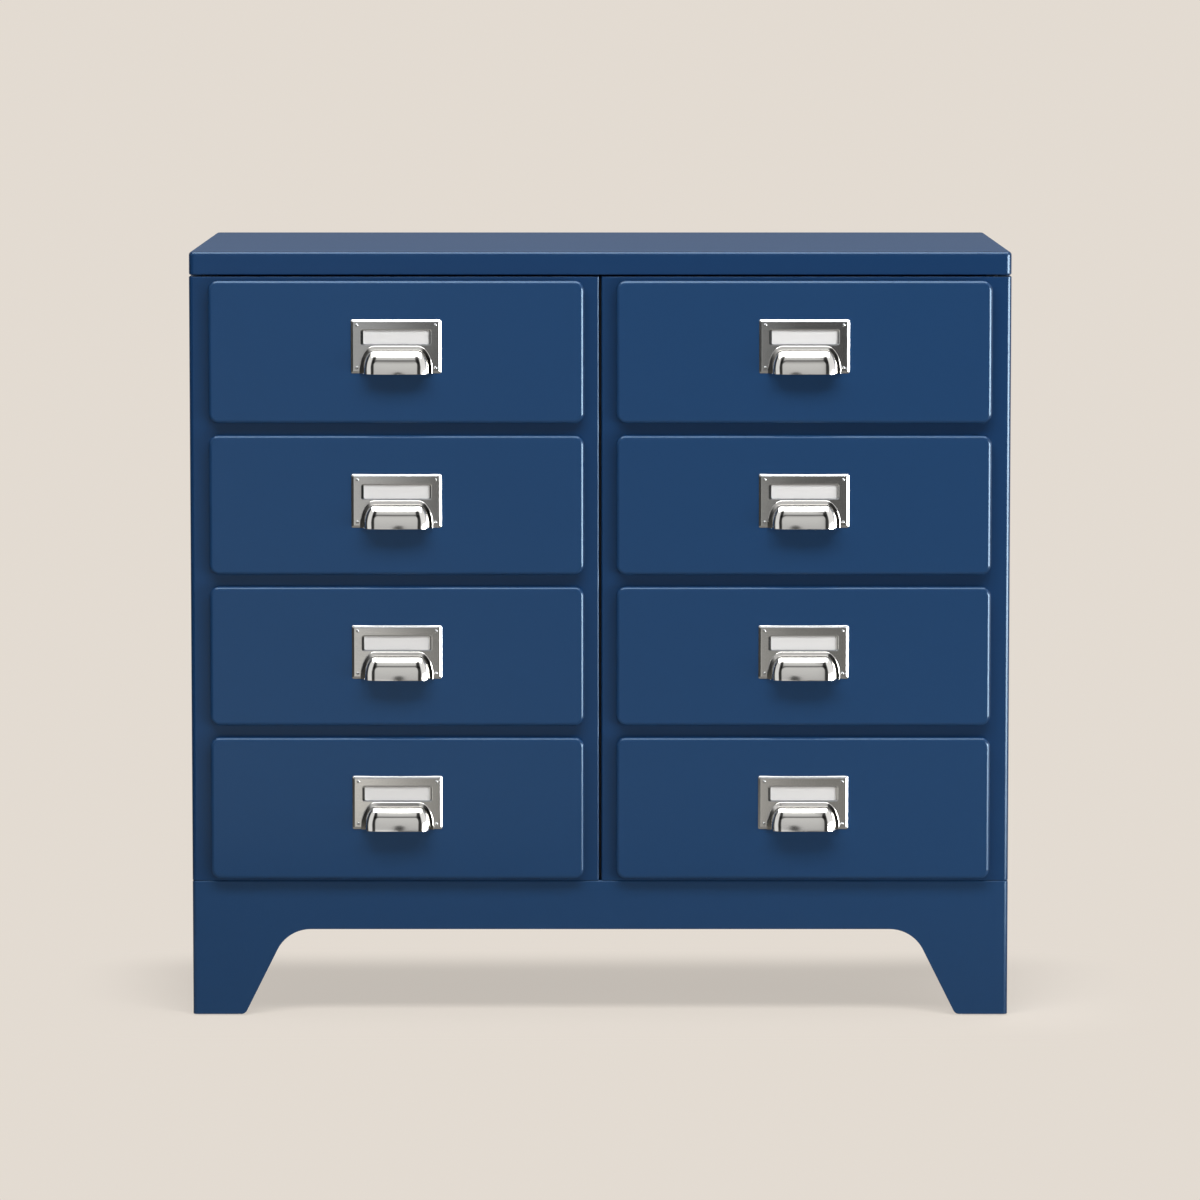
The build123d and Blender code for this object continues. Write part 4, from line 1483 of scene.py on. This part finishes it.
# ---- studio ------------------------------------------------------------------------------------------------
@dataclass(frozen=True)
class SoftBox:
    """One large soft lamp. Lengths are in metres, angles in degrees.

    turn is counted from the camera's side towards the right, rise from the floor. Both are seen from the
    cabinet. glow is the brightness of the lamp's face. A lamp without gloss only lights surfaces, and one
    without diffuse is only mirrored by them.
    """

    name: str
    turn: float
    rise: float
    distance: float
    width: float
    height: float
    glow: float
    diffuse: bool = True
    gloss: bool = True

    def build(self, aim: Vector) -> None:
        """Makes the lamp, which is itself out of the camera's sight.

        Args:
            aim: the point that it faces, in metres.
        """
        data = bpy.data.lights.new(self.name, "AREA")
        data.shape, data.size, data.size_y = "RECTANGLE", self.width, self.height
        data.energy = self.glow * math.pi * self.width * self.height
        made = new_object(self.name, data)
        turn, rise = math.radians(self.turn), math.radians(self.rise)
        out = Vector((math.sin(turn) * math.cos(rise), -math.cos(turn) * math.cos(rise), math.sin(rise)))
        made.location = aim + out * self.distance
        made.rotation_euler = out.to_track_quat("Z", "Y").to_euler()
        made.visible_camera, made.visible_diffuse, made.visible_glossy = False, self.diffuse, self.gloss


@dataclass(frozen=True)
class Room:
    """What glossy surfaces mirror: a dim room on the camera's side and a pale backdrop behind the cabinet.

    A place in it is read from the direction of the mirrored ray. Height is its upward part, from -1 to 1.
    Across and back are the other two parts, taken as if the ray were level: across is 1 straight to the
    right, and back is 1 straight behind the cabinet. Most pairs are where a change starts and where it ends.
    """

    bands: tuple[tuple[float, Colour], ...] = (
        (-1.0, (0.36, 0.34, 0.30)), (-0.3, (0.36, 0.34, 0.31)), (-0.15, (0.66, 0.61, 0.53)),
        (-0.1, (0.28, 0.275, 0.26)), (-0.05, (0.13, 0.13, 0.13)), (0.05, (0.16, 0.16, 0.16)),
        (0.14, (0.5, 0.5, 0.5)), (0.42, (0.66, 0.66, 0.655)), (0.48, (0.14, 0.14, 0.14)),
        (0.54, (0.14, 0.14, 0.14)), (0.6, (0.5, 0.5, 0.5)), (0.95, (1.0, 1.0, 0.98)), (1.0, (1.0, 1.0, 0.98)))
    horizon_rise: Pair = (-0.25, -0.05)
    horizon_fall: Pair = (0.06, 0.2)
    slant_span: Pair = (0.02, -0.09)
    slant_light: Pair = (0.28, 2.9)
    right_shade: Pair = (0.14, 0.24)
    left_shade: Pair = (-0.22, -0.34)
    side_light: float = 0.06
    ceiling: Pair = (0.75, 0.92)
    stand_place: Pair = (-0.02, 0.2)
    stand_half: Pair = (0.03, 0.06)
    stand_edge: Pair = (0.6, 1.6)
    stand_reach: Pair = (-0.5, 0.0)
    stand_light: float = 0.08
    wall_foot: Pair = (-0.02, 0.03)
    right_wall: Pair = (0.5, 0.58)
    right_wall_light: float = 0.95
    strip_start: Pair = (-0.55, -0.62)
    strip_end: Pair = (-0.97, -0.92)
    strip_light: float = 0.85
    front_end: Pair = (-0.06, 0.12)
    backdrop: Colour = (0.8, 0.78, 0.75)
    curtain: Colour = (0.185, 0.24, 0.345)
    curtain_edge: Pair = (0.8, 0.93)
    curtain_top: Pair = (0.4, 0.6)
    dark_side: Colour = (0.06, 0.06, 0.06)
    dark_edge: Pair = (-0.5, -0.62)
    dark_end: Pair = (0.7, 0.5)

    def colour(self, board: Board) -> Socket:
        """Adds the room's nodes to the world.

        Args:
            board: the world's tree.

        Returns:
            The colour that a mirrored ray meets.
        """
        ray = board.add("ShaderNodeTexCoord").outputs["Generated"]
        x, y, height = board.add("ShaderNodeSeparateXYZ", {0: ray}).outputs
        just_over_one = 1.0001
        level = board.maths("SQRT", board.maths("SUBTRACT", just_over_one, board.maths("POWER", height, 2.0)))
        across, back = board.maths("DIVIDE", x, level), board.maths("DIVIDE", y, level)
        near = board.scale(self.band(board, height), self.light(board, across, height))
        clear = self.stand(board, across, back, height)
        near = board.scale(near, board.maths("ADD", clear, self.stand_light))
        near = board.add("ShaderNodeVectorMath", {0: near, 1: self.pale_walls(board, across, height)},
                         operation="MAXIMUM").outputs[0]
        return self.blend(board, board.ramp(y, self.front_end), near, self.far(board, across, back, height))

    def blend(self, board: Board, share: Socket, first: object, second: object) -> Socket:
        """Mixes two colours: the share is that of the second."""
        return board.add("ShaderNodeMix", {"Factor": share, "A": first, "B": second},
                         data_type="VECTOR").outputs["Result"]

    def band(self, board: Board, height: Socket) -> Socket:
        """Colour of the room's middle by height: a taupe floor, a grey wall and a pale upper wall.

        Args:
            board: the world's tree.
            height: the ray's height.

        Returns:
            The colour.
        """
        fac = board.times(board.maths("ADD", height, 1.0), 0.5)
        ramp = board.add("ShaderNodeValToRGB", {"Fac": fac})
        stops = ramp.color_ramp.elements
        for stop, (place, shade) in zip(stops, (self.bands[0], self.bands[-1])):
            stop.position, stop.color = (place + 1) / 2, (*shade, 1)
        for place, shade in self.bands[1:-1]:
            stops.new((place + 1) / 2).color = (*shade, 1)
        return ramp.outputs["Color"]

    def light(self, board: Board, across: Socket, height: Socket) -> Socket:
        """How bright the room is: dark to both sides, and near the horizon brighter left than right.

        Args:
            board: the world's tree.
            across, height: the ray's place.

        Returns:
            The factor on the room's colour.
        """
        horizon = board.times(board.ramp(height, self.horizon_rise),
                              board.ramp(height, self.horizon_fall, (1.0, 0.0)))
        slant = board.times(board.ramp(across, self.slant_span, self.slant_light), horizon)
        lit = board.maths("ADD", slant, board.maths("SUBTRACT", 1.0, horizon))
        dimmed = (1.0, self.side_light)
        sides = board.times(board.ramp(across, self.right_shade, dimmed),
                            board.ramp(across, self.left_shade, dimmed))
        return board.times(board.maths("MAXIMUM", sides, board.ramp(height, self.ceiling)), lit)

    def stand(self, board: Board, across: Socket, back: Socket, height: Socket) -> Socket:
        """Mask of the dark stand in front of the cabinet.

        Args:
            board: the world's tree.
            across, back, height: the ray's place.

        Returns:
            0 where the stand is met, and 1 clear of it.
        """
        squares = []
        for way, place, half in zip((across, height), self.stand_place, self.stand_half):
            off = board.maths("DIVIDE", board.maths("SUBTRACT", way, place), half)
            squares.append(board.maths("POWER", off, 2.0))
        spread = board.maths("ADD", *squares)
        return board.maths("MAXIMUM", board.ramp(spread, self.stand_edge), board.ramp(back, self.stand_reach))

    def pale_walls(self, board: Board, across: Socket, height: Socket) -> Socket:
        """Brightness of the pale wall far to the right and of the pale strip to the left.

        Args:
            board: the world's tree.
            across, height: the ray's place.

        Returns:
            The brightness, which is 0 where neither is met.
        """
        above = board.ramp(height, self.wall_foot)
        wall = board.times(board.ramp(across, self.right_wall), above, self.right_wall_light)
        strip = board.times(board.ramp(across, self.strip_start), board.ramp(across, self.strip_end),
                            board.times(above, self.strip_light))
        return board.maths("MAXIMUM", wall, strip)

    def far(self, board: Board, across: Socket, back: Socket, height: Socket) -> Socket:
        """Colour behind the cabinet: a pale backdrop, a blue curtain straight behind and a dark left side.

        Args:
            board: the world's tree.
            across, back, height: the ray's place.

        Returns:
            The colour.
        """
        hung = board.times(board.ramp(back, self.curtain_edge),
                           board.ramp(height, self.curtain_top, (1.0, 0.0)))
        curtained = self.blend(board, hung, self.backdrop, self.curtain)
        dark = board.times(board.ramp(across, self.dark_edge), board.ramp(back, self.dark_end))
        return self.blend(board, dark, curtained, self.dark_side)


@dataclass
class Studio:
    """Floor, light and camera. Lengths here are in metres, and angles in degrees.

    shadow_middle and shadow_half give the rectangle under the cabinet where the floor keeps its shadow,
    shadow_fade how far the shadow runs out round it, and shadow_share how strong it is.
    """

    background: Colour = linear(227, 219, 209.5)
    ambient: float = 0.21
    ambient_tint: Colour = (1.0, 0.985, 0.965)
    floor_gloss: Colour = (0.34, 0.32, 0.29)
    shadow_share: float = 0.31
    shadow_middle: float = -0.06
    shadow_half: Pair = (0.37, 0.11)
    shadow_fade: float = 0.13
    floor_span: tuple[float, float, float, float] = (-1.1, 1.1, -1.15, 1.2)
    camera_place: Triple = (-0.0002, -5.418, 0.926)
    camera_pitch: float = 5.375
    camera_lens: float = 179.9
    camera_film: float = 36.0
    camera_shift: float = -0.06
    camera_clip: Pair = (0.05, 200.0)
    aim: Triple = (0.0, -0.18, 0.4)
    room: Room = Room()
    lamps: tuple[SoftBox, ...] = (
        SoftBox("key", 58, -5, 3.5, 2.3, 0.86, 12.5, gloss=False),
        SoftBox("key_window", 58, 0, 3.5, 2.5, 1.3, 23.0, diffuse=False),
        SoftBox("top", 0, 54, 2.3, 3.0, 0.8, 10.0, gloss=False),
        SoftBox("top_window", 0, 79, 2.3, 3.2, 1.8, 6.5, diffuse=False),
        SoftBox("back", 157, 24, 3.5, 3.0, 2.0, 2.7, gloss=False))

    def camera(self) -> None:
        """Makes the camera."""
        data = bpy.data.cameras.new("camera")
        data.lens, data.sensor_width, data.shift_y = self.camera_lens, self.camera_film, self.camera_shift
        data.clip_start, data.clip_end = self.camera_clip
        made = new_object("camera", data)
        made.location = self.camera_place
        made.rotation_euler = (math.radians(90 - self.camera_pitch), 0, 0)
        bpy.context.scene.camera = made

    def floor(self) -> None:
        """Makes the pale floor, which keeps the cabinet's shadow."""
        x0, x1, y0, y1 = self.floor_span
        mesh = bpy.data.meshes.new("floor")
        mesh.from_pydata([(x0, y0, 0), (x1, y0, 0), (x1, y1, 0), (x0, y1, 0)], [], [(0, 1, 2, 3)])
        paper = bpy.data.materials.new("floor_paper")
        paper.use_nodes = True
        paper.node_tree.nodes.clear()
        board = Board(paper.node_tree)
        flat = board.add("ShaderNodeBsdfDiffuse", {"Color": (*self.background, 1)}).outputs[0]
        plain, dim = (board.add("ShaderNodeEmission", {"Color": (*colour, 1), "Strength": 1.0}).outputs[0]
                      for colour in (self.background, self.floor_gloss))
        kept = board.times(self.near_cabinet(board), self.shadow_share)
        seen = board.mix(kept, plain, flat)
        board.add("ShaderNodeOutputMaterial", {"Surface": board.by_ray(seen, mirrored=dim, other=flat)})
        mesh.materials.append(paper)
        new_object("floor", mesh)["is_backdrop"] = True

    def near_cabinet(self, board: Board) -> Socket:
        """Mask of the floor under and round the cabinet, which fades out on all sides.

        Args:
            board: the floor's tree.

        Returns:
            1 under the cabinet and 0 clear of it.
        """
        place = board.add("ShaderNodeTexCoord").outputs["Object"]
        x, y, _ = board.add("ShaderNodeSeparateXYZ", {0: place}).outputs
        ways = (x, board.maths("SUBTRACT", y, self.shadow_middle))
        squares = []
        for way, half in zip(ways, self.shadow_half):
            out = board.maths("MAXIMUM", board.maths("SUBTRACT", board.maths("ABSOLUTE", way), half), 0.0)
            squares.append(board.times(out, out))
        away = board.maths("SQRT", board.maths("ADD", *squares))
        return board.ramp(away, (0.0, self.shadow_fade), (1.0, 0.0))

    def world(self) -> None:
        """Makes the surroundings: even light, the background where it is seen, and the mirrored room."""
        world = bpy.data.worlds.new("studio")
        world.use_nodes = True
        world.node_tree.nodes.clear()
        bpy.context.scene.world = world
        board = Board(world.node_tree)

        def even(colour: object, strength: float) -> Socket:
            """Adds one background shader."""
            return board.add("ShaderNodeBackground", {"Color": colour, "Strength": strength}).outputs[0]

        other = even((*self.ambient_tint, 1), self.ambient)
        seen, mirrored = even((*self.background, 1), 1.0), even(self.room.colour(board), 1.0)
        board.add("ShaderNodeOutputWorld", {"Surface": board.by_ray(seen, mirrored, other)})

    def build(self) -> None:
        """Makes the whole studio."""
        bpy.context.scene.view_settings.view_transform = "Standard"
        self.camera()
        self.floor()
        self.world()
        for lamp in self.lamps:
            lamp.build(Vector(self.aim))


def corners(box: tuple[Vector, Vector]) -> list[list[float]]:
    """A box's two corners as plain numbers."""
    return [list(corner) for corner in box]


def main() -> None:
    """Builds every sub-assembly in order, and takes the scene's bounds before and after."""
    logging.basicConfig(level=logging.INFO, format="%(name)s: %(message)s")
    cad_box = corners(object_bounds())
    parts = (Studio(), TopCover(), *(Case(side) for side in Side), LeggedBase(), Drawers(), InnerSheets())
    for part in parts:
        log.info("building %s", type(part).__name__)
        part.build()
    {"cad": cad_box, "visual": corners(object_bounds())}


if __name__ == "__main__":
    main()
